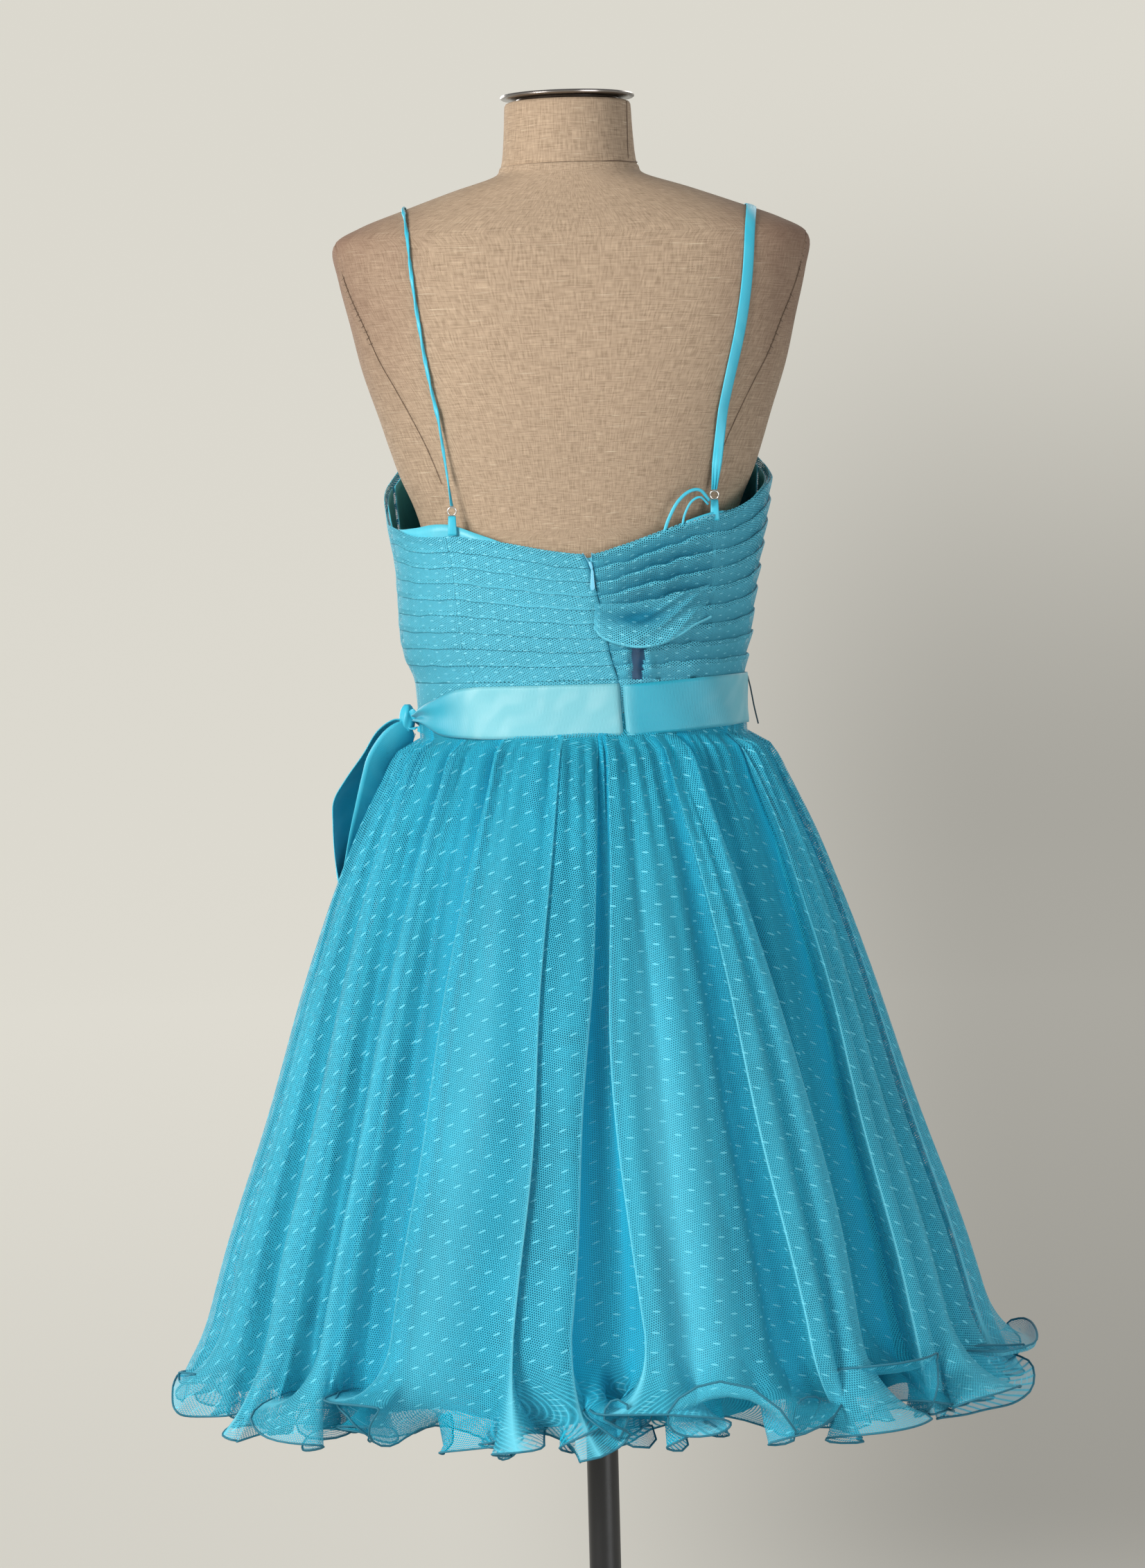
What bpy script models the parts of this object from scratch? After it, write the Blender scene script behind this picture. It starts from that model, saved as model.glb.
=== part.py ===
"""Strappy mini dress in dotted tulle on a limbless dress form and its pole.

Metres, +Z up, front towards -Y. Angles round the body are in degrees, 0 at the centre back and
rising towards the wearer's left, +X.
"""

import math

import bmesh
import bpy
from mathutils import Vector

# --- Driving sizes ---------------------------------------------------------------------------
GAP = 0.0003  # between two pieces that touch
CLOTH = 0.0012  # wall of one cloth layer
ROUNDNESS = 2.3  # exponent of the body's oval sections, 2 is an ellipse

WAIST_SEAM = 1.0100
BELT_BOTTOM = 0.9930
BELT_TOP = 1.0330
BELT_OUT = 0.0010  # the belt clears the flats of the bodice's facets

PLEAT_PITCH = 0.0136
PLEAT_PROUD = 0.0013  # how far a pleat's lower edge stands off the one below
PLEAT_STEP = 0.0006
LINING = 0.0010
ZIP_CLOSED = 0.72  # share of the bodice's height up to where the zip's edges meet
ZIP_OPEN = 0.85  # how far each edge draws back at the top, in degrees
TAPE = 4.0  # half width of the zip's tape, in degrees round the body
LINING_GAP = 0.0008  # its facets turn less often than the bodice's
LINING_TOP = 0.985  # share of the bodice's height
PLEAT_START = 1.0360  # just above the belt

TULLE_HEM = 0.4850
PLAIN_HEM = 0.4860
SATIN_HEM = 0.4900
DEEPEST = 1.35  # of the valleys in the table of folds
SATIN_COLUMNS = 36

STRAP_WIDTH = 0.0075
STRAP_THICK = 0.0011
ROLLED_WIDTH = 0.0034
ROLLED_THICK = 0.0024

POLE_RADIUS = 0.0125
BASE_RADIUS = 0.160
BASE_THICK = 0.010
TORSO_BOTTOM = 0.800
NECK_SEAM = 1.4360
NECK_TOP = 1.4868
CAP_RADIUS = 0.0525

# --- Tables ----------------------------------------------------------------------------------
# Outer surface of the dress above the waist and of the skirt's top edge.
BODY_COLUMNS = ("height", "half_width", "back", "front", "shift")
BODY = (
    (0.9600, 0.1275, 0.0930, 0.0990, 0.0000),
    (0.9930, 0.1285, 0.0930, 0.0990, 0.0000),
    (1.0103, 0.1285, 0.0925, 0.1000, 0.0010),
    (1.0360, 0.1290, 0.0925, 0.1010, 0.0020),
    (1.0570, 0.1345, 0.0935, 0.1060, 0.0045),
    (1.0750, 0.1380, 0.0945, 0.1120, 0.0040),
    (1.1000, 0.1400, 0.0965, 0.1220, 0.0030),
    (1.1250, 0.1425, 0.0985, 0.1330, 0.0015),
    (1.1570, 0.1480, 0.1010, 0.1420, 0.0010),
    (1.1900, 0.1515, 0.1025, 0.1460, 0.0010),
    (1.2300, 0.1530, 0.1020, 0.1420, 0.0000),
    (1.2750, 0.1480, 0.1010, 0.1290, 0.0000),
)
# Top edge of the bodice, round from the back: 0 is the centre back, + is the wearer's left.
TOP_EDGE_COLUMNS = ("angle", "height")
TOP_EDGE = (
    (-180.0, 1.2340),
    (-162.0, 1.2440),
    (-146.0, 1.2680),
    (-130.0, 1.2330),
    (-109.0, 1.2060),
    (-90.0, 1.1930),
    (-74.0, 1.1825),
    (-61.0, 1.1710),
    (-49.0, 1.1635),
    (-42.0, 1.1620),
    (-24.0, 1.1500),
    (-10.5, 1.1385),
    (-2.0, 1.1325),
    (3.5, 1.1345),
    (11.4, 1.1385),
    (27.0, 1.1490),
    (42.0, 1.1570),
    (54.0, 1.1570),
    (81.0, 1.1590),
    (90.0, 1.1780),
    (112.0, 1.2010),
    (130.0, 1.2310),
    (146.0, 1.2680),
    (162.0, 1.2440),
    (180.0, 1.2340),
)
# Linen-covered torso.
TORSO_COLUMNS = ("height", "half_width", "back", "front")
TORSO = (
    (1.4360, 0.0540, 0.0515, 0.0500),
    (1.4285, 0.0600, 0.0530, 0.0505),
    (1.4180, 0.0930, 0.0560, 0.0510),
    (1.4050, 0.1300, 0.0620, 0.0530),
    (1.3920, 0.1650, 0.0690, 0.0580),
    (1.3780, 0.1870, 0.0760, 0.0650),
    (1.3520, 0.1840, 0.0860, 0.0780),
    (1.3160, 0.1755, 0.0960, 0.0900),
    (1.2800, 0.1670, 0.1010, 0.1030),
    (1.2440, 0.1552, 0.1025, 0.1190),
    (1.2180, 0.1470, 0.1010, 0.1290),
    (1.1950, 0.1390, 0.0985, 0.1350),
    (1.1580, 0.1235, 0.0940, 0.1290),
    (1.1200, 0.1190, 0.0900, 0.1160),
    (1.0600, 0.1130, 0.0820, 0.0950),
    (1.0100, 0.1110, 0.0780, 0.0850),
    (0.9600, 0.1210, 0.0800, 0.0860),
    (0.9000, 0.1420, 0.0960, 0.0940),
    (0.8500, 0.1520, 0.1040, 0.0980),
    (0.8060, 0.1500, 0.1020, 0.0960),
    (0.8000, 0.1440, 0.0960, 0.0900),
)
# Outline of the gathered skirt, with how far its folds reach in from it.
SKIRT_COLUMNS = ("height", "half_width", "depth", "fold")
SKIRT = (
    (0.9922, 0.1285, 0.0970, 0.0000),
    (0.9840, 0.1440, 0.1110, 0.0040),
    (0.9560, 0.1600, 0.1310, 0.0075),
    (0.9000, 0.1870, 0.1620, 0.0105),
    (0.8100, 0.2210, 0.2000, 0.0150),
    (0.7000, 0.2560, 0.2360, 0.0200),
    (0.5950, 0.2930, 0.2700, 0.0250),
    (0.4850, 0.3240, 0.2980, 0.0300),
)
# Folds round the outer skirt, from the zip to the wearer's left and on round: the angle of each
# valley and of the ridge after it, and how deep the valley is, where 1 is the outline's own.
FOLD_COLUMNS = ("valley", "ridge", "depth")
FOLDS = (
    (-3.5, 2.5, 1.30),
    (10.0, 18.0, 0.60),
    (29.5, 36.0, 1.25),
    (43.5, 50.0, 0.70),
    (58.0, 67.0, 0.90),
    (76.0, 83.0, 0.80),
    (90.0, 97.0, 0.90),
    (103.0, 109.0, 0.75),
    (117.0, 122.0, 1.10),
    (128.0, 136.0, 0.80),
    (142.0, 149.0, 0.95),
    (156.0, 161.0, 1.20),
    (167.0, 175.0, 0.70),
    (181.0, 187.0, 1.00),
    (194.0, 199.0, 0.85),
    (205.0, 213.0, 1.15),
    (219.0, 225.0, 0.75),
    (231.0, 238.0, 0.95),
    (244.0, 250.0, 1.05),
    (257.0, 263.0, 0.80),
    (270.0, 277.0, 0.90),
    (284.0, 291.0, 0.85),
    (298.0, 307.0, 1.00),
    (318.0, 322.0, 1.30),
    (329.0, 333.0, 0.60),
    (338.0, 352.0, 0.75),
)

# Straps over the shoulder: turn from the back (0) over the top (90), place across, distance of the
# strap's middle off the form.
STRAP_COLUMNS = ("turn", "across", "off")
LEFT_STRAP = (
    (-10.0, 0.1045, 0.0045),
    (14.0, 0.1120, 0.0028),
    (38.0, 0.1185, 0.0025),
    (62.0, 0.1255, 0.0026),
    (84.0, 0.1300, 0.0018),
    (106.0, 0.1270, 0.0024),
    (128.0, 0.1200, 0.0026),
    (148.0, 0.1100, 0.0028),
)
RIGHT_STRAP = (
    (-10.0, 0.1120, 0.0035),
    (14.0, 0.1200, 0.0020),
    (38.0, 0.1290, 0.0016),
    (62.0, 0.1370, 0.0018),
    (84.0, 0.1410, 0.0012),
    (106.0, 0.1370, 0.0017),
    (128.0, 0.1260, 0.0016),
    (148.0, 0.1120, 0.0020),
)
# Hanger loops: place across, height above the bodice's top edge.
HANGER_COLUMNS = ("across", "above_edge")
HANGER_LOOPS = {
    "hanger_loop_outer": (
        (-0.0660, 0.0010),
        (-0.0720, 0.0110),
        (-0.0810, 0.0190),
        (-0.0900, 0.0190),
        (-0.0985, 0.0125),
    ),
    "hanger_loop_inner": (
        (-0.0790, 0.0010),
        (-0.0840, 0.0100),
        (-0.0900, 0.0135),
        (-0.0950, 0.0110),
        (-0.0980, 0.0060),
    ),
}

# Seams of the bodice, as angles from the centre back at the waist and at the top edge.
SEAM_COLUMNS = ("seam", "at_waist", "at_top")
SEAMS = {
    "zip": (-10.5, -2.0),
    "side_back_left": (36.0, 41.0),
    "side_left": (100.0, 104.0),
    "side_back_right": (-49.0, -42.0),
    "side_right": (-100.0, -104.0),
}

# Tails of the bow: angle round the skirt, height, distance off the skirt's outline.
TAIL_WIDTH = 0.038
TAIL_START = 0.008
TAIL_COLUMNS = ("angle", "height", "off")
BOW_TAILS = {
    "bow_tail_left": (
        (95.0, 0.9650, 0.0050),
        (95.0, 0.9400, 0.0050),
        (94.0, 0.9000, 0.0050),
        (93.0, 0.8600, 0.0050),
        (93.0, 0.7950, 0.0050),
    ),
    "bow_tail_right": (
        (116.0, 0.9650, 0.0050),
        (119.0, 0.9400, 0.0050),
        (121.0, 0.9000, 0.0050),
        (122.0, 0.8400, 0.0050),
        (122.0, 0.7600, 0.0050),
    ),
}

# Where each tail leaves the knot, from the knot's middle.
TAIL_STARTS = {
    "bow_tail_left": ((0.0020, -0.0117, -0.0040), (0.0100, -0.0150, -0.0200)),
    "bow_tail_right": ((-0.0032, -0.0146, -0.0066), (-0.0010, -0.0380, -0.0220)),
}

# Slot where the right panel's pleats have come loose: its sides as panel columns, and its rows.
SLOT_SIDES = ((-17.9, -13.5, 0.0), (-14.8, -10.2, 0.0))
SLOT_ROWS = (1, 2, 3, 4)

# Materials: name, colour, roughness, metallic
LINEN = ("linen", (0.42, 0.31, 0.20), 0.90, 0.0)
STEEL = ("neck_steel", (0.62, 0.61, 0.60), 0.25, 1.0)
BLACK_METAL = ("black_metal", (0.015, 0.015, 0.016), 0.35, 1.0)
TULLE = ("dotted_tulle", (0.10, 0.52, 0.70), 0.75, 0.0)
PLAIN_TULLE = ("plain_tulle", (0.08, 0.46, 0.66), 0.75, 0.0)
SATIN = ("satin", (0.02, 0.38, 0.60), 0.35, 0.0)
RIBBON = ("belt_ribbon", (0.12, 0.62, 0.76), 0.35, 0.0)
NICKEL = ("nickel", (0.72, 0.71, 0.69), 0.22, 1.0)
ZIP_ENAMEL = ("zip_enamel", (0.10, 0.50, 0.66), 0.30, 0.0)
THREAD = ("dark_thread", (0.01, 0.05, 0.07), 0.80, 0.0)


# --- Helpers ---------------------------------------------------------------------------------
def material(finish):
    """Principled material of one finish, made once."""
    name, colour, roughness, metallic = finish
    found = bpy.data.materials.get(name)
    if found:
        return found
    made = bpy.data.materials.new(name)
    made.use_nodes = True
    shader = made.node_tree.nodes["Principled BSDF"]
    shader.inputs["Base Color"].default_value = (*colour, 1.0)
    shader.inputs["Roughness"].default_value = roughness
    shader.inputs["Metallic"].default_value = metallic
    return made


def add_object(name, points, faces, finish):
    """Mesh object with its faces pointing outwards."""
    mesh = bpy.data.meshes.new(name)
    mesh.from_pydata([tuple(p) for p in points], [], faces)
    work = bmesh.new()
    work.from_mesh(mesh)
    bmesh.ops.recalc_face_normals(work, faces=work.faces)
    work.to_mesh(mesh)
    work.free()
    mesh.shade_smooth()
    mesh.set_sharp_from_angle(angle=math.radians(40))
    made = bpy.data.objects.new(name, mesh)
    made.data.materials.append(material(finish))
    bpy.context.scene.collection.objects.link(made)
    return made


def looked_up(rows, key, column):
    """Value of a table's column where its first column is key, on straight lines between rows."""
    rows = sorted(rows)
    if key <= rows[0][0]:
        return rows[0][column]
    for low, high in zip(rows, rows[1:]):
        if key <= high[0]:
            share = (key - low[0]) / (high[0] - low[0])
            return low[column] + share * (high[column] - low[column])
    return rows[-1][column]


def oval(angle, half_width, depth, roundness=ROUNDNESS):
    """Point of an oval section: angle in degrees, 0 at the back (+Y), + towards +X."""
    turn = math.radians(angle)
    power = 2.0 / roundness
    x = math.copysign(abs(math.sin(turn)) ** power, math.sin(turn))
    y = math.copysign(abs(math.cos(turn)) ** power, math.cos(turn))
    return Vector((half_width * x, depth * y, 0.0))


def body_point(angle, height, out=0.0):
    """Point of the dress above the waist, out from its outer surface."""
    angle = (angle + 180.0) % 360.0 - 180.0
    half_width = looked_up(BODY, height, BODY_COLUMNS.index("half_width"))
    side = "back" if abs(angle) <= 90.0 else "front"
    depth = looked_up(BODY, height, BODY_COLUMNS.index(side))
    point = oval(angle, half_width + out, depth + out)
    point.x += looked_up(BODY, height, BODY_COLUMNS.index("shift"))
    point.z = height
    return point


def torso_point(angle, height, out=0.0):
    """Point of the linen torso, out from its surface."""
    half_width = looked_up(TORSO, height, TORSO_COLUMNS.index("half_width"))
    side = "back" if math.cos(math.radians(angle)) >= 0 else "front"
    depth = looked_up(TORSO, height, TORSO_COLUMNS.index(side))
    point = oval(angle, half_width + out, depth + out)
    point.z = height
    return point


def top_edge(angle):
    """Height of the bodice's top edge."""
    angle = (angle + 180.0) % 360.0 - 180.0
    return looked_up(TOP_EDGE, angle, 1)


def wall(name, outer, inner, finish, round_it=False, holes=()):
    """Closed wall between two equal grids of points, rows of columns. round_it joins the last
    column to the first, and holes are the (row, column) cells that are left out."""
    rows, columns = len(outer), len(outer[0])
    points = [p for row in outer for p in row] + [p for row in inner for p in row]
    half = rows * columns

    def number(row, column, layer):
        return layer * half + row * columns + column % columns

    faces = []
    steps = columns if round_it else columns - 1
    for row in range(rows - 1):
        for column in range(steps):
            if (row, column) in holes:
                continue
            for layer in (0, 1):
                face = [
                    number(row, column, layer),
                    number(row, column + 1, layer),
                    number(row + 1, column + 1, layer),
                    number(row + 1, column, layer),
                ]
                faces.append(face if layer == 0 else face[::-1])
    for column in range(steps):
        for row in (0, rows - 1):
            face = [
                number(row, column, 0),
                number(row, column + 1, 0),
                number(row, column + 1, 1),
                number(row, column, 1),
            ]
            faces.append(face[::-1] if row == 0 else face)
    if not round_it:
        for row in range(rows - 1):
            for column in (0, columns - 1):
                face = [
                    number(row, column, 0),
                    number(row + 1, column, 0),
                    number(row + 1, column, 1),
                    number(row, column, 1),
                ]
                faces.append(face if column == 0 else face[::-1])
    for row, column in holes:
        edges = {
            (row - 1, column): ((row, column), (row, column + 1)),
            (row + 1, column): ((row + 1, column), (row + 1, column + 1)),
            (row, column - 1): ((row, column), (row + 1, column)),
            (row, column + 1): ((row, column + 1), (row + 1, column + 1)),
        }
        for beside, (one, other) in edges.items():
            if beside not in holes:
                faces.append([number(*one, 0), number(*other, 0), number(*other, 1), number(*one, 1)])
    return add_object(name, points, faces, finish)


def solid_of_rings(name, rings, finish):
    """Solid through closed rings of points, with a flat fan at each end."""
    columns = len(rings[0])
    points = [p for ring in rings for p in ring]
    faces = []
    for row in range(len(rings) - 1):
        for column in range(columns):
            after = (column + 1) % columns
            faces.append(
                [
                    row * columns + column,
                    row * columns + after,
                    (row + 1) * columns + after,
                    (row + 1) * columns + column,
                ]
            )
    for row in (0, len(rings) - 1):
        middle = sum((Vector(p) for p in rings[row]), Vector()) / columns
        points.append(middle)
        for column in range(columns):
            after = (column + 1) % columns
            faces.append([row * columns + column, row * columns + after, len(points) - 1])
    return add_object(name, points, faces, finish)


def turned(name, profile, sides, finish):
    """Solid of revolution about Z through (radius, height) pairs."""
    rings = []
    for radius, height in profile:
        ring = []
        for step in range(sides):
            turn = 2 * math.pi * step / sides
            ring.append(Vector((radius * math.sin(turn), radius * math.cos(turn), height)))
        rings.append(ring)
    return solid_of_rings(name, rings, finish)


def strip(name, path, across, widths, thick, finish):
    """Flat ribbon along a path. across gives the direction of its width at each point."""
    rings = []
    for index, point in enumerate(path):
        before = path[max(index - 1, 0)]
        after = path[min(index + 1, len(path) - 1)]
        along = (after - before).normalized()
        side = (across[index] - across[index].dot(along) * along).normalized()
        face = along.cross(side).normalized() * thick / 2
        side = side * widths[index] / 2
        rings.append([point + side + face, point - side + face, point - side - face, point + side - face])
    return solid_of_rings(name, rings, finish)


def smooth_path(rows, steps):
    """Points along a smooth curve through rows of numbers, steps to each stretch."""
    rows = [Vector(row) for row in rows]
    ends = [2 * rows[0] - rows[1]] + rows + [2 * rows[-1] - rows[-2]]
    made = []
    for a, b, c, d in zip(ends, ends[1:], ends[2:], ends[3:]):
        for step in range(steps):
            t = step / steps
            made.append(
                0.5
                * (2 * b + (c - a) * t + (2 * a - 5 * b + 4 * c - d) * t**2 + (3 * b - a - 3 * c + d) * t**3)
            )
    made.append(rows[-1].copy())
    return made


# --- The dress form --------------------------------------------------------------------------
def make_form():
    """Torso, neck, neck cap, pole and base."""
    sides = 36
    rings = []
    for row in TORSO:
        rings.append([torso_point(360.0 * step / sides, row[0]) for step in range(sides)])
    solid_of_rings("form_torso", rings, LINEN)
    neck = []
    for height, half_width, depth in (
        (NECK_SEAM + GAP, 0.0535, 0.0505),
        (1.4450, 0.0515, 0.0490),
        (1.4700, 0.0500, 0.0480),
        (1.4840, 0.0495, 0.0475),
        (NECK_TOP, 0.0470, 0.0450),
    ):
        ring = [oval(360.0 * step / 28, half_width, depth, 2.0) for step in range(28)]
        neck.append([Vector((p.x, p.y, height)) for p in ring])
    solid_of_rings("form_neck", neck, LINEN)
    turned(
        "form_cap",
        (
            (0.0420, NECK_TOP + GAP),
            (0.0420, 1.4920),
            (0.0505, 1.4940),
            (CAP_RADIUS, 1.4952),
            (CAP_RADIUS, 1.4970),
            (0.0505, 1.4985),
            (0.0300, 1.4992),
        ),
        32,
        STEEL,
    )
    turned(
        "form_pole",
        ((POLE_RADIUS, BASE_THICK + GAP), (POLE_RADIUS, TORSO_BOTTOM - GAP)),
        24,
        BLACK_METAL,
    )
    turned(
        "form_base",
        (
            (BASE_RADIUS - 0.001, 0.0),
            (BASE_RADIUS, 0.001),
            (BASE_RADIUS, BASE_THICK - 0.003),
            (BASE_RADIUS - 0.003, BASE_THICK),
        ),
        48,
        BLACK_METAL,
    )


# --- The bodice ------------------------------------------------------------------------------
def between(first, last, count):
    """Columns of a panel from one seam to another, as (angle at the waist, angle at the top edge,
    0). first and last are (seam, degrees past it)."""
    columns = []
    for step in range(count + 1):
        pair = []
        for at in (0, 1):
            low = SEAMS[first[0]][at] + first[1]
            high = SEAMS[last[0]][at] + last[1]
            if high < low:
                high += 360.0
            pair.append(low + (high - low) * step / count)
        columns.append((*pair, 0.0))
    return columns


def opened(columns, which, turn):
    """The columns with one edge of the panel drawn back by turn degrees at the very top, as beside
    the zip's slider."""
    at_waist, at_top, _ = columns[which]
    columns[which] = (at_waist, at_top, turn)
    return columns


def panel(name, columns, rows, inset, thick, finish, holes=()):
    """Wall over columns and rows. inset is how far its outer face lies inside the dress's, and
    rows are (share of the height, how far out)."""
    outer, inner = [], []
    for share, out in rows:
        outer_row, inner_row = [], []
        for at_waist, at_top, turn in columns:
            angle = at_waist + max(share, 0.0) * (at_top - at_waist)
            angle += turn * max(0.0, (share - ZIP_CLOSED) / (1.0 - ZIP_CLOSED))
            if share < 0.0:
                height = WAIST_SEAM + GAP
            else:
                height = PLEAT_START + share * (top_edge(angle) - PLEAT_START)
            outer_row.append(body_point(angle, height, out - inset))
            inner_row.append(body_point(angle, height, -inset - thick))
        outer.append(outer_row)
        inner.append(inner_row)
    return wall(name, outer, inner, finish, holes=holes)


def pleat_rows(top, pitch):
    """(share, how far out) of the rows that make the pleats: share -1 is the waist seam, 0 the
    first pleat and 1 the top edge."""
    rows = [(-1.0, 0.0), (0.0, 0.0)]
    count = round((top - PLEAT_START) / pitch)
    for pleat in range(count):
        if pleat:
            rows.append((pleat / count, 0.0))
        rows.append((pleat / count + PLEAT_STEP / (top - PLEAT_START), PLEAT_PROUD))
    rows.append((1.0, 0.0))
    return rows


def lining_rows(rows):
    """Every other row of a pleated panel, for the plain pieces behind it."""
    return [rows[0], rows[1]] + [(share, 0.0) for share, _ in rows[3:-1:2]] + [(LINING_TOP, -0.001)]


def make_bodice():
    """Pleated tulle panels, and the lining that shows at the top edges."""
    seam = 0.12  # degrees, about 0.3 mm
    back = pleat_rows(1.152, PLEAT_PITCH)
    front = pleat_rows(1.236, 2.0 * PLEAT_PITCH)
    back_left = opened(between(("zip", 0.15), ("side_back_left", -seam), 5), 0, ZIP_OPEN)
    side_left = between(("side_back_left", seam), ("side_left", -seam), 4)
    side_right = between(("side_right", seam), ("side_back_right", -seam), 4)
    whole_front = between(("side_left", seam), ("side_right", -seam), 12)
    back_right = between(("side_back_right", seam), ("zip", -0.15), 6)
    back_right[3] = (-24.5, -19.5, 0.0)
    back_right[4:6] = SLOT_SIDES
    back_right = opened(back_right, -1, -ZIP_OPEN)
    slot = [(row, 4) for row in SLOT_ROWS]
    panel("bodice_back_left", back_left, back, 0.0, CLOTH, TULLE)
    panel("bodice_side_left", side_left, back, 0.0, CLOTH, TULLE)
    panel("bodice_back_right", back_right, back, 0.0, CLOTH, TULLE, slot)
    panel("bodice_side_right", side_right, back, 0.0, CLOTH, TULLE)
    panel("bodice_front", whole_front, front, 0.0, CLOTH, TULLE)
    # The lining follows the same columns, and every other row.
    inset = CLOTH + LINING_GAP
    behind = lining_rows(back)
    panel("lining_back_left", back_left[1:-1] + side_left, behind, inset, LINING, SATIN)
    panel("lining_back_right", side_right + back_right[1:-1], behind, inset, LINING, SATIN)
    panel("lining_front", whole_front, lining_rows(front), inset + 5 * GAP, LINING, SATIN)


def make_swag():
    """Pleat of the back right panel that has come loose and sags over the ones below."""
    # angle, top of the pleat, height of its folded lower edge, how far the edge stands off
    rows = (
        (-8.0, 1.0960, 1.0790, 0.0030),
        (-13.0, 1.0985, 1.0690, 0.0080),
        (-19.0, 1.1010, 1.0630, 0.0130),
        (-26.0, 1.1040, 1.0640, 0.0130),
        (-33.0, 1.1080, 1.0740, 0.0090),
        (-40.0, 1.1120, 1.0870, 0.0032),
    )
    clear = PLEAT_PROUD + GAP
    outer, inner = [], []
    for share in (0.0, 0.3, 0.7, 1.0):
        outer_row, inner_row = [], []
        for angle, high, low, off in rows:
            height = high + share * (low - high)
            out = clear + (off - clear) * math.sin(share * math.pi / 2)
            inner_row.append(body_point(angle, height, out))
            outer_row.append(body_point(angle, height, out + CLOTH))
        outer.append(outer_row)
        inner.append(inner_row)
    wall("bodice_loose_pleat", outer, inner, TULLE)


def zip_angle(height):
    """Angle of the zip's line at a height."""
    at_waist, at_top = SEAMS["zip"]
    share = (height - PLEAT_START) / (top_edge(at_top) - PLEAT_START)
    return at_waist + share * (at_top - at_waist)


def make_zip():
    """Tape behind the centre-back opening, slider, and the pull tab that hangs from it."""
    rows = lining_rows(pleat_rows(1.152, PLEAT_PITCH))
    tape = between(("zip", -TAPE), ("zip", TAPE), 2)
    panel("zip_tape", tape, rows, CLOTH + LINING_GAP, LINING, SATIN)
    back, front = GAP - CLOTH - LINING_GAP, 0.0014  # how far out the slider reaches
    rings = []
    for height, half_width in ((1.1200, 0.0007), (1.1215, 0.0009), (1.1255, 0.0013), (1.1272, 0.0010)):
        ring = []
        for side, out in ((-1, back), (1, back), (1, front), (-1, front)):
            point = body_point(zip_angle(height), height, out)
            ring.append(point + Vector((side * half_width, 0.0, 0.0)))
        rings.append(ring)
    solid_of_rings("zip_slider", rings, ZIP_ENAMEL)
    make_pull_tab(body_point(zip_angle(1.1205), 1.1205, front + 0.0009))


def make_pull_tab(pivot):
    """Teardrop tab hanging from its pin at the pivot."""
    half_thick = 0.00045
    rows = (  # drop below the pivot, half width
        (-0.0005, 0.0007),
        (0.0008, 0.0010),
        (0.0050, 0.0012),
        (0.0100, 0.0017),
        (0.0132, 0.0019),
        (0.0150, 0.0013),
        (0.0156, 0.0005),
    )
    rings = []
    for drop, half_width in rows:
        ring = []
        for side, face in ((-1, -1), (1, -1), (1, 1), (-1, 1)):
            ring.append(Vector((side * half_width, face * half_thick, -drop)))
        rings.append(ring)
    tab = solid_of_rings("zip_pull_tab", rings, ZIP_ENAMEL)
    tab.location = pivot


# --- The skirt -------------------------------------------------------------------------------
def waist_point(angle, height, inset):
    """Point of the skirt's top edge, which lies under the belt."""
    return body_point(angle, height, -inset)


def skirt_point(angle, height, inset):
    """Point of the skirt's outline below the belt, inset from it."""
    half_width = looked_up(SKIRT, height, SKIRT_COLUMNS.index("half_width"))
    depth = looked_up(SKIRT, height, SKIRT_COLUMNS.index("depth"))
    point = oval(angle, half_width - inset, depth - inset, 2.1)
    return Vector((point.x, point.y, height))


def skirt_layer(name, heights, first, ease, spread, reach, finish):
    """One gathered layer. first is its depth under the belt, ease how much further in it lies
    below the belt, spread how much more at the hem, and reach the share of the folds' depth that
    it follows."""
    if reach:
        spots = []
        for valley, ridge, dip in FOLDS:
            spots += [(valley, dip * reach), (ridge, 0.0)]
    else:
        spots = [(360.0 * step / SATIN_COLUMNS, 0.0) for step in range(SATIN_COLUMNS)]
    outer, inner = [], []
    for height in (WAIST_SEAM, BELT_BOTTOM - GAP):
        outer.append([waist_point(angle, height, first) for angle, _ in spots])
        inner.append([waist_point(angle, height, first + CLOTH) for angle, _ in spots])
    for height in heights:
        fold = looked_up(SKIRT, height, SKIRT_COLUMNS.index("fold"))
        share = (BELT_BOTTOM - height) / (BELT_BOTTOM - TULLE_HEM)
        inset = first + ease + spread * share + (1.0 - reach) * DEEPEST * fold
        outer.append([skirt_point(angle, height, inset + fold * dip) for angle, dip in spots])
        inner.append([skirt_point(angle, height, inset + fold * dip + CLOTH) for angle, dip in spots])
    wall(name, outer, inner, finish, round_it=True)


def make_skirt():
    """Dotted tulle over plain tulle over the satin underskirt."""
    layer = CLOTH + GAP
    dotted = (0.984, 0.956, 0.900, 0.810, 0.700, 0.595, TULLE_HEM)
    plain = (0.984, 0.956, 0.900, 0.810, 0.700, 0.595, PLAIN_HEM)
    satin = (0.984, 0.956, 0.900, 0.810, 0.700, SATIN_HEM)
    skirt_layer("skirt_dotted_tulle", dotted, 0.0, 0.0, 0.0, 1.0, TULLE)
    skirt_layer("skirt_plain_tulle", plain, layer + 0.0008, 0.0030, 0.007, 0.9, PLAIN_TULLE)
    skirt_layer("skirt_satin", satin, 2 * layer + 0.0014, 0.0050, 0.015, 0.0, SATIN)


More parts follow.
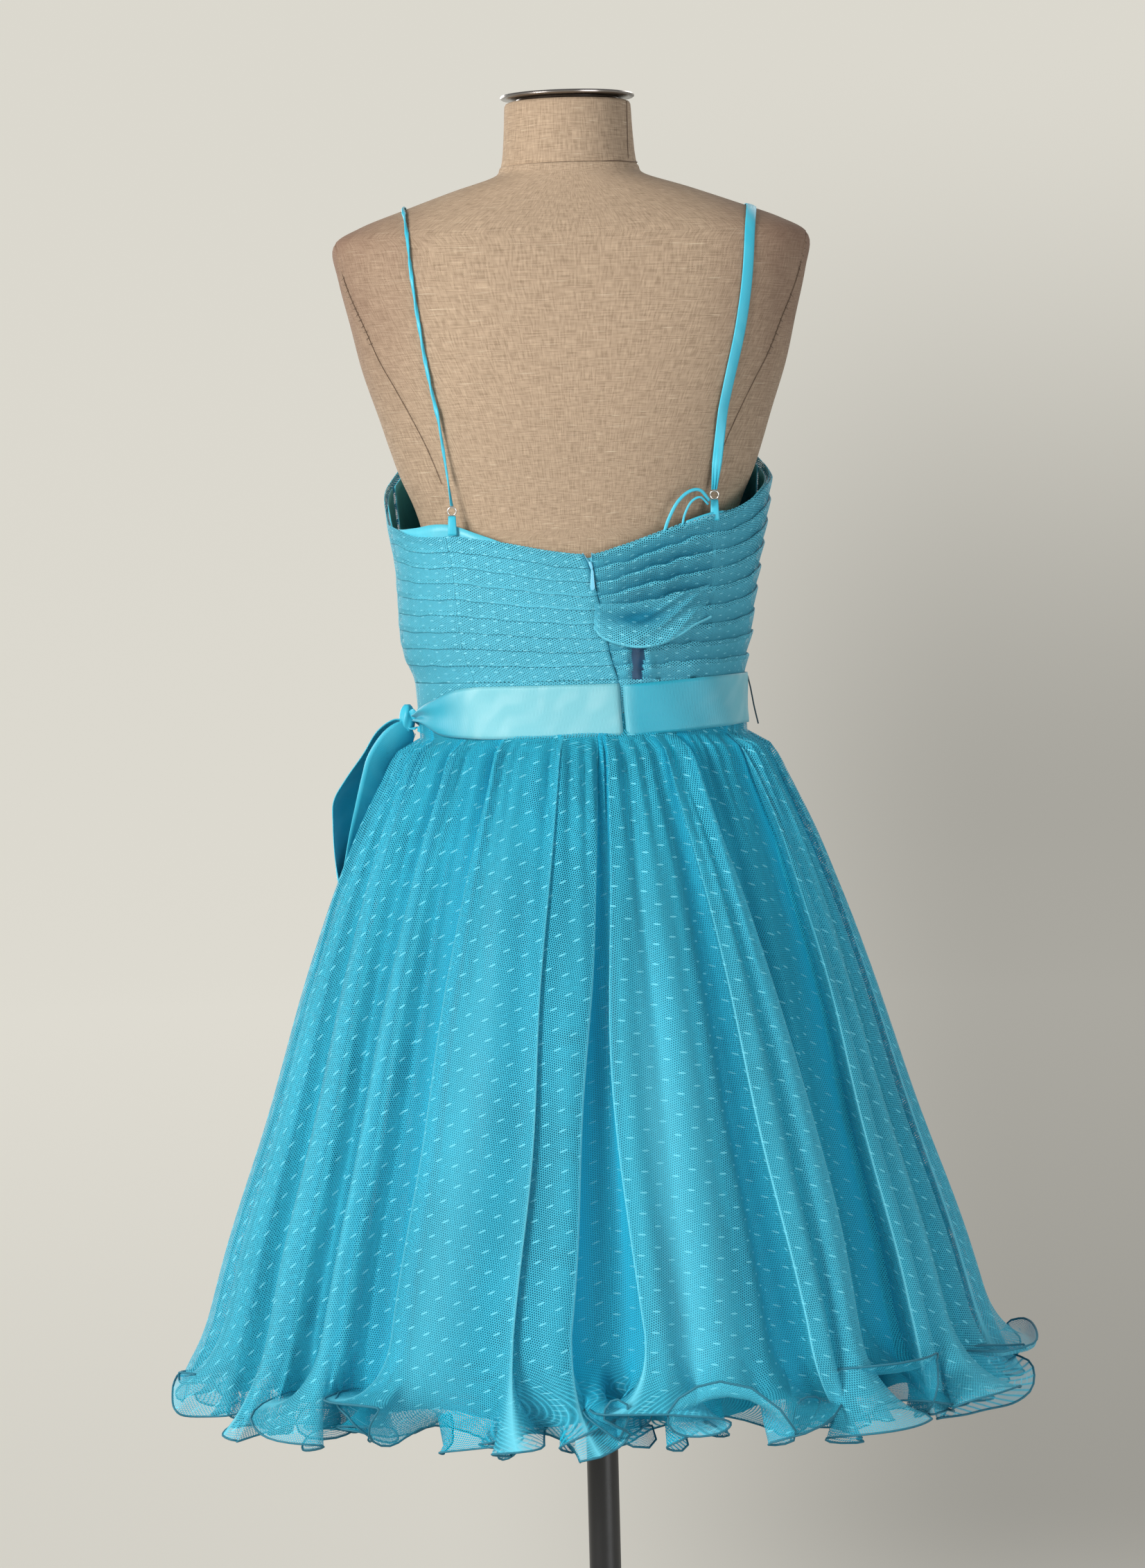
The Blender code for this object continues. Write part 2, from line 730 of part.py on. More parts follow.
# --- The belt and bow ------------------------------------------------------------------------
def belt_length(name, low_angle, high_angle, columns, pinch_at=None):
    """Stretch of the belt round the waist. It narrows to the knot within 30 degrees of pinch_at."""
    outer, inner = [], []
    for share in (0.0, 0.5, 1.0):
        outer_row, inner_row = [], []
        for column in range(columns + 1):
            angle = low_angle + (high_angle - low_angle) * column / columns
            narrow = 1.0
            if pinch_at is not None:
                away = min(abs(angle - pinch_at) / 30.0, 1.0)
                narrow = 0.35 + 0.65 * math.sin(away * math.pi / 2)
            middle = (BELT_TOP + BELT_BOTTOM) / 2
            height = middle + (share - 0.5) * (BELT_TOP - BELT_BOTTOM) * narrow
            inner_row.append(body_point(angle, height, BELT_OUT))
            outer_row.append(body_point(angle, height, BELT_OUT + CLOTH))
        outer.append(outer_row)
        inner.append(inner_row)
    wall(name, outer, inner, RIBBON)


def make_belt():
    """Ribbon belt in two lengths, with its knot, loops, tails and the thread carrier."""
    knot_angle = 93.0
    belt_length("belt_left", -10.8, knot_angle - 4.0, 14, knot_angle)
    belt_length("belt_right", knot_angle + 4.0, 360.0 - 12.0, 30, knot_angle)
    knot = body_point(knot_angle, 1.0080, 0.0092)
    rings = []
    for rise, radius in ((-0.015, 0.004), (-0.009, 0.0082), (0.0, 0.0088), (0.009, 0.0075), (0.014, 0.0035)):
        ring = []
        for step in range(12):
            turn = 2 * math.pi * step / 12
            ring.append(knot + Vector((radius * math.sin(turn), 1.25 * radius * math.cos(turn), rise)))
        rings.append(ring)
    solid_of_rings("bow_knot", rings, RIBBON)
    make_bow(knot)
    carrier = (
        body_point(-92.0, 1.0345, 0.0030),
        body_point(-92.0, 1.0250, 0.0050),
        body_point(-92.0, 1.0100, 0.0072),
        body_point(-92.0, 0.9965, 0.0092),
    )
    path = smooth_path(carrier, 3)
    sides = [Vector((0.0, 1.0, 0.0))] * len(path)
    strip("belt_carrier", path, sides, [0.0012] * len(path), 0.0010, THREAD)


def make_bow(knot):
    """Large loop, small upper loop and two tails, on the skirt's left side."""
    side = Vector((0.0, 1.0, 0.0))
    loop = (
        knot + Vector((0.0108, -0.004, 0.001)),
        (0.1630, -0.0280, 1.0000),
        (0.1830, -0.0400, 0.9690),
        (0.2010, -0.0480, 0.9330),
        (0.2040, -0.0520, 0.8990),
        (0.1990, -0.0540, 0.8820),
        (0.1920, -0.0530, 0.8960),
        (0.1860, -0.0500, 0.9300),
        (0.1750, -0.0440, 0.9640),
        (0.1590, -0.0330, 0.9900),
    )
    path = smooth_path(loop, 2)
    count = len(path)
    widths = []
    for index in range(count):
        swell = math.sin(math.pi * (0.04 + 0.92 * index / (count - 1))) ** 0.6
        widths.append(0.012 + 0.026 * swell)
    strip("bow_loop", path, [side] * count, widths, CLOTH, RIBBON)
    small = (
        knot + Vector((0.0000, -0.001, 0.0150)),
        knot + Vector((0.0040, -0.002, 0.0210)),
        knot + Vector((0.0075, -0.004, 0.0160)),
        knot + Vector((0.0105, -0.006, 0.0060)),
    )
    path = smooth_path(small, 2)
    strip("bow_small_loop", path, [side] * len(path), [0.010] * len(path), CLOTH, RIBBON)
    for name, rows in BOW_TAILS.items():
        points = [knot + Vector(start) for start in TAIL_STARTS[name]]
        across = [Vector((1.0, 0.0, 0.0)), Vector((0.7, 0.7, 0.0))]
        for angle, height, off in rows:
            points.append(skirt_point(angle, height, -off))
            across.append((skirt_point(angle - 3.0, height, 0) - skirt_point(angle + 3.0, height, 0)))
        path = smooth_path(points, 2)
        sides = smooth_path([side.normalized() for side in across], 2)
        widths = [TAIL_START + (TAIL_WIDTH - TAIL_START) * min(1.0, i / 6.0) for i in range(len(path))]
        strip(name, path, sides, widths, CLOTH, RIBBON)


# --- The straps ------------------------------------------------------------------------------
def shoulder_point(x, turn, out):
    """Point of the torso's surface in the plane at x, seen from (0, 1.25) in that plane at an
    angle turn, 0 towards the back and 90 up."""
    direction = Vector((0.0, math.cos(math.radians(turn)), math.sin(math.radians(turn))))
    centre = Vector((x, 0.0, 1.25))

    def inside(distance):
        point = centre + direction * distance
        if point.z > TORSO[0][0]:
            return False
        half_width = looked_up(TORSO, point.z, TORSO_COLUMNS.index("half_width"))
        side = "back" if point.y >= 0 else "front"
        depth = looked_up(TORSO, point.z, TORSO_COLUMNS.index(side))
        return abs(point.x / half_width) ** ROUNDNESS + abs(point.y / depth) ** ROUNDNESS < 1.0

    low, high = 0.0, 0.3
    for _ in range(40):
        middle = (low + high) / 2
        low, high = (middle, high) if inside(middle) else (low, middle)
    return centre + direction * (low + out)


def edge_point(x, rise):
    """Point of the back half above the bodice's top edge, in the middle of its wall."""
    low, high = 0.0, 90.0
    for _ in range(30):
        angle = (low + high) / 2
        point = body_point(math.copysign(angle, x), top_edge(math.copysign(angle, x)) + rise, -CLOTH / 2)
        low, high = (angle, high) if abs(point.x) < abs(x) else (low, angle)
    return point


def thinned(points, slack):
    """Fewest of the points whose straight lines stay within slack of the rest."""
    kept = [0]
    while kept[-1] < len(points) - 1:
        start = kept[-1]
        end = start + 1
        while end + 1 < len(points):
            line = (points[end + 1] - points[start]).normalized()
            away = max(
                ((p - points[start]) - (p - points[start]).dot(line) * line).length
                for p in points[start + 1 : end + 1]
            )
            if away > slack:
                break
            end += 1
        kept.append(end)
    return kept


def make_strap(name, side, width, thick, start, rows):
    """Strap from the ring at the back over the shoulder to the front top edge."""
    turns = [rows[0][0] + step * 1.5 for step in range(int((rows[-1][0] - rows[0][0]) / 1.5) + 1)]
    over, lean = [], []
    for turn in turns:
        x = side * looked_up(rows, turn, STRAP_COLUMNS.index("across"))
        off = looked_up(rows, turn, STRAP_COLUMNS.index("off"))
        over.append(shoulder_point(x, turn, off))
        step = Vector(shoulder_point(x + 0.003, turn, off) - shoulder_point(x - 0.003, turn, off))
        lean.append(step.normalized())
    kept = thinned(over, 0.00025)
    over, lean = [over[k] for k in kept], [lean[k] for k in kept]
    cup = side * 146.0
    edge = body_point(cup, top_edge(cup) + GAP + 0.0003, -CLOTH / 2)
    flat = Vector((1.0, 0.0, 0.0))
    path = [start, start.lerp(over[0], 0.5)] + over + [over[-1].lerp(edge, 0.6), edge]
    across = [flat, flat] + lean + [lean[-1], flat]
    strip(name, path, across, [width] * len(path), thick, RIBBON)


def make_ring(name, centre, radius, wire):
    """Small metal ring standing in the XZ plane."""
    points, faces = [], []
    around, section = 14, 6
    for step in range(around):
        turn = 2 * math.pi * step / around
        for part in range(section):
            roll = 2 * math.pi * part / section
            reach = radius + wire * math.cos(roll)
            points.append(
                centre + Vector((reach * math.cos(turn), wire * math.sin(roll), reach * math.sin(turn)))
            )
    for step in range(around):
        for part in range(section):
            after, beside = (step + 1) % around, (part + 1) % section
            faces.append(
                [
                    step * section + part,
                    after * section + part,
                    after * section + beside,
                    step * section + beside,
                ]
            )
    add_object(name, points, faces, NICKEL)


def make_straps():
    """Both straps, their rings and tabs, and the two hanger loops."""
    ring_radius, wire = 0.0032, 0.0006
    # x of the tab, height of the strap's lower end, width, thickness, rows over the shoulder
    straps = {
        "left": (0.0970, 1.1725, ROLLED_WIDTH, ROLLED_THICK, LEFT_STRAP),
        "right": (-0.1050, 1.1800, STRAP_WIDTH, STRAP_THICK, RIGHT_STRAP),
    }
    for side, (x, height, width, thick, rows) in straps.items():
        edge = edge_point(x, GAP)
        start = Vector((x, edge.y, height))
        make_strap(f"strap_{side}", math.copysign(1.0, x), width, thick, start, rows)
        centre = start - Vector((0.0, 0.0, ring_radius + wire + GAP))
        make_ring(f"strap_ring_{side}", centre, ring_radius, wire)
        top = centre - Vector((0.0, 0.0, ring_radius + wire + GAP))
        highest = max(edge_point(x + beside, GAP).z for beside in (-0.004, 0.0, 0.004))
        bottom = Vector((edge.x, edge.y, highest))
        path = [top, (top + bottom) / 2, bottom]
        strip(f"strap_tab_{side}", path, [Vector((1, 0, 0))] * 3, [0.0070] * 3, 0.0012, RIBBON)
    # Two thin ribbon loops at the right, from the top edge up and over to the tab.
    for name, rows in HANGER_LOOPS.items():
        path = smooth_path([edge_point(x, rise) for x, rise in rows], 3)
        strip(name, path, [Vector((0.0, 1.0, 0.0))] * len(path), [0.0020] * len(path), 0.0009, RIBBON)


def main():
    for found in list(bpy.data.objects):
        bpy.data.objects.remove(found, do_unlink=True)
    make_form()
    make_bodice()
    make_swag()
    make_zip()
    make_skirt()
    make_belt()
    make_straps()


main()
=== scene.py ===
# %% [markdown]
# # A mini dress in dotted tulle, on a linen dress form
# The dress has a pleated strapless bodice with thin straps, a ribbon belt tied in a bow at the
# side, and a gathered skirt of dotted tulle over plain tulle over satin. It hangs on a limbless
# form that stands on a pole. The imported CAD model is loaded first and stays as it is, because it
# fixes every size. Then each piece is made again with its folds and cloth, rides on its body, and
# hides the plain solid that it stands for.

# %% Tools and the fixed frame
import math

import bmesh
import bpy
import numpy as np
from mathutils import Matrix, Vector


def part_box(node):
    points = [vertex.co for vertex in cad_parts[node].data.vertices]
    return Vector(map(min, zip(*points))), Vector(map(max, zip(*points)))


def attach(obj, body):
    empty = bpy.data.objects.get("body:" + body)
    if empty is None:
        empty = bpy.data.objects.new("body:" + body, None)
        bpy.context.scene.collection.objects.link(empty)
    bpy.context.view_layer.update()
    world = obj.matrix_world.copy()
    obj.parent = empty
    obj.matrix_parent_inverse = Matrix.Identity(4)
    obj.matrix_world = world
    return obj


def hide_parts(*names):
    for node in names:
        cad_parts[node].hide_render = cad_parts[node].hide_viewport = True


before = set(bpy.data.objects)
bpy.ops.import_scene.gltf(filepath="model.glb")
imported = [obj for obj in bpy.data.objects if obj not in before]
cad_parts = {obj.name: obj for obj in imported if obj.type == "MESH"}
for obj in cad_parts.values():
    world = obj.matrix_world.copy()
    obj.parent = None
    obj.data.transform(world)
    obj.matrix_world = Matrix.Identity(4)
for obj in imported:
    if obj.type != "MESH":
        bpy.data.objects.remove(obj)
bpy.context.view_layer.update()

# %% [markdown]
# ## Sizes
# A pattern cutter works from a few tables. These repeat the CAD's sizes in metres: sections of
# the dress above the waist, of the form and of the skirt's outline. Angles go round the body in
# degrees from the centre back, and rise towards the wearer's left.

# %% Tables of the dress and the form
# height, half width, back, front, how far it leans to the left
BODY = (
    (0.9600, 0.1275, 0.0930, 0.0990, 0.0000),
    (0.9930, 0.1285, 0.0930, 0.0990, 0.0000),
    (1.0103, 0.1285, 0.0925, 0.1000, 0.0010),
    (1.0360, 0.1290, 0.0925, 0.1010, 0.0020),
    (1.0570, 0.1345, 0.0935, 0.1060, 0.0045),
    (1.0750, 0.1380, 0.0945, 0.1120, 0.0040),
    (1.1000, 0.1400, 0.0965, 0.1220, 0.0030),
    (1.1250, 0.1425, 0.0985, 0.1330, 0.0015),
    (1.1570, 0.1480, 0.1010, 0.1420, 0.0010),
    (1.1900, 0.1515, 0.1025, 0.1460, 0.0010),
    (1.2300, 0.1530, 0.1020, 0.1420, 0.0000),
    (1.2750, 0.1480, 0.1010, 0.1290, 0.0000),
)
# angle, height of the bodice's top edge
TOP_EDGE = (
    (-180.0, 1.2340),
    (-162.0, 1.2440),
    (-146.0, 1.2680),
    (-130.0, 1.2330),
    (-109.0, 1.2060),
    (-90.0, 1.1930),
    (-74.0, 1.1825),
    (-61.0, 1.1710),
    (-49.0, 1.1635),
    (-42.0, 1.1620),
    (-24.0, 1.1500),
    (-10.5, 1.1385),
    (-2.0, 1.1325),
    (3.5, 1.1345),
    (11.4, 1.1385),
    (27.0, 1.1490),
    (42.0, 1.1570),
    (54.0, 1.1570),
    (81.0, 1.1590),
    (90.0, 1.1780),
    (112.0, 1.2010),
    (130.0, 1.2310),
    (146.0, 1.2680),
    (162.0, 1.2440),
    (180.0, 1.2340),
)
# height, half width, back, front
TORSO = (
    (1.4360, 0.0540, 0.0515, 0.0500),
    (1.4285, 0.0600, 0.0530, 0.0505),
    (1.4180, 0.0930, 0.0560, 0.0510),
    (1.4050, 0.1300, 0.0620, 0.0530),
    (1.3920, 0.1650, 0.0690, 0.0580),
    (1.3780, 0.1870, 0.0760, 0.0650),
    (1.3520, 0.1840, 0.0860, 0.0780),
    (1.3160, 0.1755, 0.0960, 0.0900),
    (1.2800, 0.1670, 0.1010, 0.1030),
    (1.2440, 0.1552, 0.1025, 0.1190),
    (1.2180, 0.1470, 0.1010, 0.1290),
    (1.1950, 0.1390, 0.0985, 0.1350),
    (1.1580, 0.1235, 0.0940, 0.1290),
    (1.1200, 0.1190, 0.0900, 0.1160),
    (1.0600, 0.1130, 0.0820, 0.0950),
    (1.0100, 0.1110, 0.0780, 0.0850),
    (0.9600, 0.1210, 0.0800, 0.0860),
    (0.9000, 0.1420, 0.0960, 0.0940),
    (0.8500, 0.1520, 0.1040, 0.0980),
    (0.8060, 0.1500, 0.1020, 0.0960),
    (0.8000, 0.1440, 0.0960, 0.0900),
)
# height, half width, depth, how far the folds reach in
SKIRT = (
    (0.9922, 0.1285, 0.0970, 0.0000),
    (0.9840, 0.1440, 0.1110, 0.0040),
    (0.9560, 0.1600, 0.1310, 0.0075),
    (0.9000, 0.1870, 0.1620, 0.0105),
    (0.8100, 0.2210, 0.2000, 0.0150),
    (0.7000, 0.2560, 0.2360, 0.0200),
    (0.5950, 0.2930, 0.2700, 0.0250),
    (0.4850, 0.3240, 0.2980, 0.0300),
)
SEAMS = {
    "zip": (-10.5, -2.0),
    "side_back_left": (36.0, 41.0),
    "side_left": (100.0, 104.0),
    "side_back_right": (-49.0, -42.0),
    "side_right": (-100.0, -104.0),
}
WAIST_SEAM, PLEAT_START = 1.0100, 1.0360
BELT_BOTTOM = 0.9930
print("tables:", len(BODY), "rows of dress,", len(TORSO), "of form,", len(SKIRT), "of skirt")


# %% [markdown]
# ## Reading the tables
# Straight lines between the rows would show as facets. Two kinds of curve join them instead: one
# bends like a thin ruler through points in space, and one never overshoots a column's values.
# %% Curves through a table
def bent(rows, steps):
    """Points on a smooth curve through rows of numbers, steps to each stretch."""
    rows = np.array(rows, float)
    ends = np.vstack((2 * rows[0] - rows[1], rows, 2 * rows[-1] - rows[-2]))
    made = []
    for a, b, c, d in zip(ends, ends[1:], ends[2:], ends[3:]):
        for t in np.arange(steps) / steps:
            along = (c - a) * t + (2 * a - 5 * b + 4 * c - d) * t**2 + (3 * b - a - 3 * c + d) * t**3
            made.append(b + along / 2)
    made.append(rows[-1])
    return np.array(made)


def eased(rows, column, at):
    """One column of a table on a smooth curve that keeps between its rows."""
    rows = np.array(sorted(rows), float)
    keys, values = rows[:, 0], rows[:, column]
    step = np.diff(keys)
    slope = np.diff(values) / step
    same = slope[:-1] * slope[1:] > 0
    total = np.where(same, slope[:-1] + slope[1:], 1.0)
    middle = np.where(same, 2 * slope[:-1] * slope[1:] / total, 0.0)
    lean = np.concatenate((slope[:1], middle, slope[-1:]))
    at = np.clip(np.asarray(at, float), keys[0], keys[-1])
    i = np.clip(np.searchsorted(keys, at) - 1, 0, len(keys) - 2)
    t = (at - keys[i]) / step[i]
    low = (2 * t**3 - 3 * t**2 + 1) * values[i] + (t**3 - 2 * t**2 + t) * step[i] * lean[i]
    high = (3 * t**2 - 2 * t**3) * values[i + 1] + (t**3 - t**2) * step[i] * lean[i + 1]
    return low + high


# %% Sections of the dress
def oval(angle, half_width, depth, roundness=2.3):
    """x and y on an oval section."""
    turn, power = np.radians(angle), 2.0 / roundness
    x = np.sign(np.sin(turn)) * np.abs(np.sin(turn)) ** power * half_width
    y = np.sign(np.cos(turn)) * np.abs(np.cos(turn)) ** power * depth
    return x, y


def on_dress(angle, height, out=0.0):
    """Points on the dress above the waist, out from its surface."""
    angle = (np.asarray(angle, float) + 180.0) % 360.0 - 180.0
    angle, height, out = np.broadcast_arrays(angle, height, out)
    depth = np.where(np.abs(angle) <= 90, eased(BODY, 2, height), eased(BODY, 3, height))
    x, y = oval(angle, eased(BODY, 1, height) + out, depth + out)
    return np.stack((x + eased(BODY, 4, height), y, height), -1)


def top_edge(angle):
    """Height of the bodice's top edge."""
    return eased(TOP_EDGE, 1, (np.asarray(angle, float) + 180.0) % 360.0 - 180.0)


# %% Waves, ramps, bells and lengths
def waves(at, lengths, seed):
    """Gentle uneven wave, about -1 to 1, made of a few sines of these lengths."""
    phases = np.random.default_rng(seed).uniform(0, 2 * np.pi, len(lengths))
    return sum(np.sin(2 * np.pi * at / n + p) for n, p in zip(lengths, phases)) / len(lengths) ** 0.7


def ramp(value, start, over):
    """0 up to a start, then straight up to 1 over a distance. It falls where that is negative."""
    return np.clip((value - start) / over, 0, 1)


def bell(off, half):
    """1 in the middle, fading to nothing a few half widths off it."""
    return np.exp(-((off / half) ** 2))


def unit(ways, least=0.0):
    """Directions, each of length 1. least guards against one that has no length."""
    return ways / (np.linalg.norm(ways, axis=1)[:, None] + least)


def run_along(path):
    """Length from the start of a path to each of its points."""
    return np.append(0, np.linalg.norm(np.diff(path, axis=0), axis=1).cumsum())


# %% [markdown]
# ## Node helpers
# Each finish is a node tree made in code. These helpers add a node, do sums and mix colours, so
# that the cells below read as a recipe.
# %% Node helpers
def give(node, inputs):
    """Sets inputs of a node, to values or to the outputs of other nodes."""
    for name, value in inputs.items():
        if isinstance(value, bpy.types.NodeSocket):
            node.id_data.links.new(value, node.inputs[name])
        else:
            node.inputs[name].default_value = value


def add_node(tree, kind, inputs=None, **settings):
    """Node with its settings and inputs."""
    made = tree.nodes.new(kind)
    for name, value in settings.items():
        setattr(made, name, value)
    give(made, inputs or {})
    return made


def reckon(operation, *values):
    """Result of a sum on numbers and outputs."""
    tree = next(value.id_data for value in values if isinstance(value, bpy.types.NodeSocket))
    return add_node(tree, "ShaderNodeMath", dict(enumerate(values)), operation=operation).outputs[0]


def times(first, *others):
    """Product of numbers and outputs."""
    for other in others:
        first = reckon("MULTIPLY", first, other)
    return first


def mixed(share, one, other):
    """Colour between two colours or outputs."""
    one, other = ((*c, 1.0) if isinstance(c, tuple) else c for c in (one, other))
    made = add_node(share.id_data, "ShaderNodeMix", {0: share, 6: one, 7: other}, data_type="RGBA")
    return made.outputs[2]


def darker(colour, share):
    """Colour with each part taken down to a share of it."""
    return tuple(share * part for part in colour)


def spread_over(value, low, high, to_low=0.0, to_high=1.0, way="LINEAR"):
    """Value moved from one range to another, and held there."""
    inputs = {"Value": value, "From Min": low, "From Max": high, "To Min": to_low, "To Max": to_high}
    return add_node(value.id_data, "ShaderNodeMapRange", inputs, interpolation_type=way).outputs[0]


def mottle(where, scale, detail=2.0):
    """Cloudy noise, stretched where its three scales differ."""
    placed = add_node(where.id_data, "ShaderNodeMapping", {"Vector": where, "Scale": scale}).outputs[0]
    inputs = {"Vector": placed, "Scale": 1.0, "Detail": detail}
    return add_node(where.id_data, "ShaderNodeTexNoise", inputs).outputs["Fac"]


def parts_of(value):
    """Three parts of a vector."""
    return add_node(value.id_data, "ShaderNodeSeparateXYZ", {0: value}).outputs


def carried(shader, title):
    """Value that a mesh carries at each point, such as its painted shade and its paleness with painted
    highlight.
    """
    return add_node(shader.id_data, "ShaderNodeAttribute", attribute_name=title).outputs["Fac"]


def start_finish(name, colour, roughness, metallic=0.0):
    """Material with its shader and the two places a pattern can read: cloth and object."""
    made = bpy.data.materials.new(name)
    made.use_nodes = True
    shader = made.node_tree.nodes["Principled BSDF"]
    give(shader, {"Base Color": (*colour, 1.0), "Roughness": roughness, "Metallic": metallic})
    cloth = add_node(made.node_tree, "ShaderNodeUVMap", uv_map="cloth").outputs[0]
    place = add_node(made.node_tree, "ShaderNodeTexCoord").outputs["Object"]
    return made, shader, cloth, place


def bump(shader, height, distance, strength=1.0):
    """Fine relief on a shader."""
    inputs = {"Height": height, "Distance": distance, "Strength": strength}
    give(shader, {"Normal": add_node(shader.id_data, "ShaderNodeBump", inputs).outputs[0]})


# %% [markdown]
# ## Finishes
# Tulle is a honeycomb net of fine thread, so its holes are cut with alpha: three rows of waves at
# sixty degrees to each other are low along the threads and high in the holes. The woven dots are
# short dashes in staggered columns. Where the net sinks into a deep fold or crease, an attribute on
# the mesh darkens it with painted shade, dims its dots and closes its holes, as where it lies on the
# cloth behind. A second attribute makes it pale where it is doubled at folded edges, with a painted
# highlight there and on crests.
# %% Tulle
NET_CELL = 0.0019
# Colour of net doubled at folded edges, also used as a painted highlight on crests.
PALE_NET = (0.170, 0.610, 0.730)


def honeycomb(u, v, open_share):
    """How far threads cover the net, from three rows of waves."""
    crowding = 2 * math.pi / (NET_CELL * math.sqrt(3) / 2)
    rows = []
    for turn in (0.0, math.radians(60.0), math.radians(120.0)):
        along = reckon("MULTIPLY_ADD", v, crowding * math.sin(turn), times(u, crowding * math.cos(turn)))
        rows.append(reckon("COSINE", along))
    net = reckon("ADD", reckon("ADD", rows[0], rows[1]), rows[2])
    return spread_over(net, open_share - 0.25, open_share + 0.25, 1.0, 0.0)


def dashes(u, v, dash, pitch):
    """Short woven dashes in staggered columns, a little aslant."""
    column = reckon("DIVIDE", u, pitch[0])
    odd = reckon("PINGPONG", reckon("FLOOR", column), 1.0)
    slant = times(reckon("SUBTRACT", reckon("FRACT", column), 0.5), 0.10)
    row = reckon("ADD", reckon("MULTIPLY_ADD", odd, 0.5, reckon("DIVIDE", v, pitch[1])), slant)
    reach = []
    for part, size, step in ((column, dash[0], pitch[0]), (row, dash[1], pitch[1])):
        off = reckon("ABSOLUTE", reckon("SUBTRACT", reckon("FRACT", part), 0.5))
        reach.append(reckon("POWER", times(off, 2 * step / size), 2.0))
    return reckon("LESS_THAN", reckon("ADD", *reach), 1.0)


def make_tulle(name, thread, solid, open_share, dash=None, pitch=None, dash_colour=None):
    """Net of one thread colour. solid is its colour under painted shade in the folds, where its holes also
    close as on the cloth behind.
    """
    made, shader, cloth, place = start_finish(name, thread, 0.70)
    u, v, _ = parts_of(cloth)
    depth_and_shade, doubling_and_highlight = carried(shader, "depth_and_shade"), carried(shader, "doubling_and_highlight")
    cloud, fine = mottle(place, (14.0, 14.0, 9.0), 3.0), mottle(cloth, (420.0, 300.0, 1.0))
    cloud = reckon("MULTIPLY_ADD", fine, 0.45, times(cloud, 0.55))
    lit = mixed(spread_over(cloud, 0.38, 0.62), darker(thread, 0.80), thread)
    # Painted shade takes the net towards solid; doubled edges and painted highlights take it towards the
    # pale net.
    colour = mixed(times(doubling_and_highlight, 0.70), mixed(depth_and_shade, lit, solid), PALE_NET)
    covered = reckon("MAXIMUM", times(depth_and_shade, 0.70), doubling_and_highlight)
    alpha = reckon("MAXIMUM", honeycomb(u, v, open_share), covered)
    if dash:
        # The dots dim under painted shade.
        seen = times(dashes(u, v, dash, pitch), spread_over(depth_and_shade, 0.3, 1.0, 0.75, 0.25))
        colour = mixed(seen, colour, dash_colour)
        alpha = reckon("MAXIMUM", alpha, seen)
    give(shader, {"Base Color": colour, "Alpha": alpha, "Specular IOR Level": 0.18})
    give(shader, {"Sheen Weight": 0.14, "Sheen Tint": (0.15, 0.75, 0.90, 1.0)})
    return made


# length and width of a woven dash, then the spacing of the columns and along them
SKIRT_DASH = ((0.0060, 0.0014), (0.0127, 0.0160))
BODICE_DASH = ((0.0034, 0.0011), (0.0098, 0.0072))
dotted_tulle = make_tulle(
    "dotted_tulle", (0.036, 0.425, 0.585), (0.003, 0.350, 0.545), -0.45, *SKIRT_DASH, (0.160, 0.610, 0.735)
)
plain_tulle = make_tulle("plain_tulle", (0.014, 0.430, 0.600), (0.002, 0.300, 0.540), 0.10)
bodice_tulle = make_tulle(
    "bodice_tulle", (0.095, 0.470, 0.605), (0.002, 0.140, 0.230), 0.25, *BODICE_DASH, (0.205, 0.620, 0.730)
)
print("net cell", NET_CELL, "dash", SKIRT_DASH[0])


# %% [markdown]
# The satin of the underskirt and lining has a soft sheen along its folds. The belt is a ribbed
# ribbon: fine ribs stand across its width, and where two layers of ribs cross the eye sees
# watery moire rings, which a slow warped wave gives.
# %% Satin and ribbon
RIB = 0.0011  # from one rib to the next


def make_satin(name, colour, roughness):
    """Smooth satin whose tone drifts a little along the cloth, darkened where the mesh carries painted
    shade.
    """
    made, shader, cloth, place = start_finish(name, colour, roughness)
    thread = mottle(cloth, (2600.0, 120.0, 1.0), 1.0)
    tone = reckon("MULTIPLY_ADD", thread, 0.3, times(mottle(place, (22.0, 22.0, 10.0), 3.0), 0.7))
    face = mixed(spread_over(tone, 0.35, 0.65), darker(colour, 0.80), colour)
    face = mixed(carried(shader, "depth_and_shade"), face, (0.001, 0.070, 0.170))
    give(shader, {"Base Color": face, "Specular IOR Level": 0.5})
    bump(shader, thread, 0.00006)
    return made


def make_ribbon(name, colour, light, watery, relief):
    """Ribbon with ribs across it. watery is how far the moire lightens it."""
    made, shader, cloth, _ = start_finish(name, colour, 0.46)
    inputs = {"Vector": cloth, "Scale": 26.0, "Distortion": 7.0, "Detail": 2.0, "Detail Scale": 0.8}
    water = add_node(cloth.id_data, "ShaderNodeTexWave", inputs, bands_direction="DIAGONAL").outputs["Fac"]
    cloud = spread_over(mottle(cloth, (14.0, 45.0, 1.0)), 0.4, 0.65)
    face = mixed(times(spread_over(water, 0.2, 0.9), cloud, watery), colour, light)
    # Painted shade darkens the ribbon where the mesh carries it.
    face = mixed(carried(shader, "depth_and_shade"), face, (0.008, 0.320, 0.440))
    give(shader, {"Base Color": face, "Sheen Weight": 0.1})
    bump(shader, reckon("SINE", times(parts_of(cloth)[0], 2 * math.pi / RIB)), 0.00012, relief)
    return made


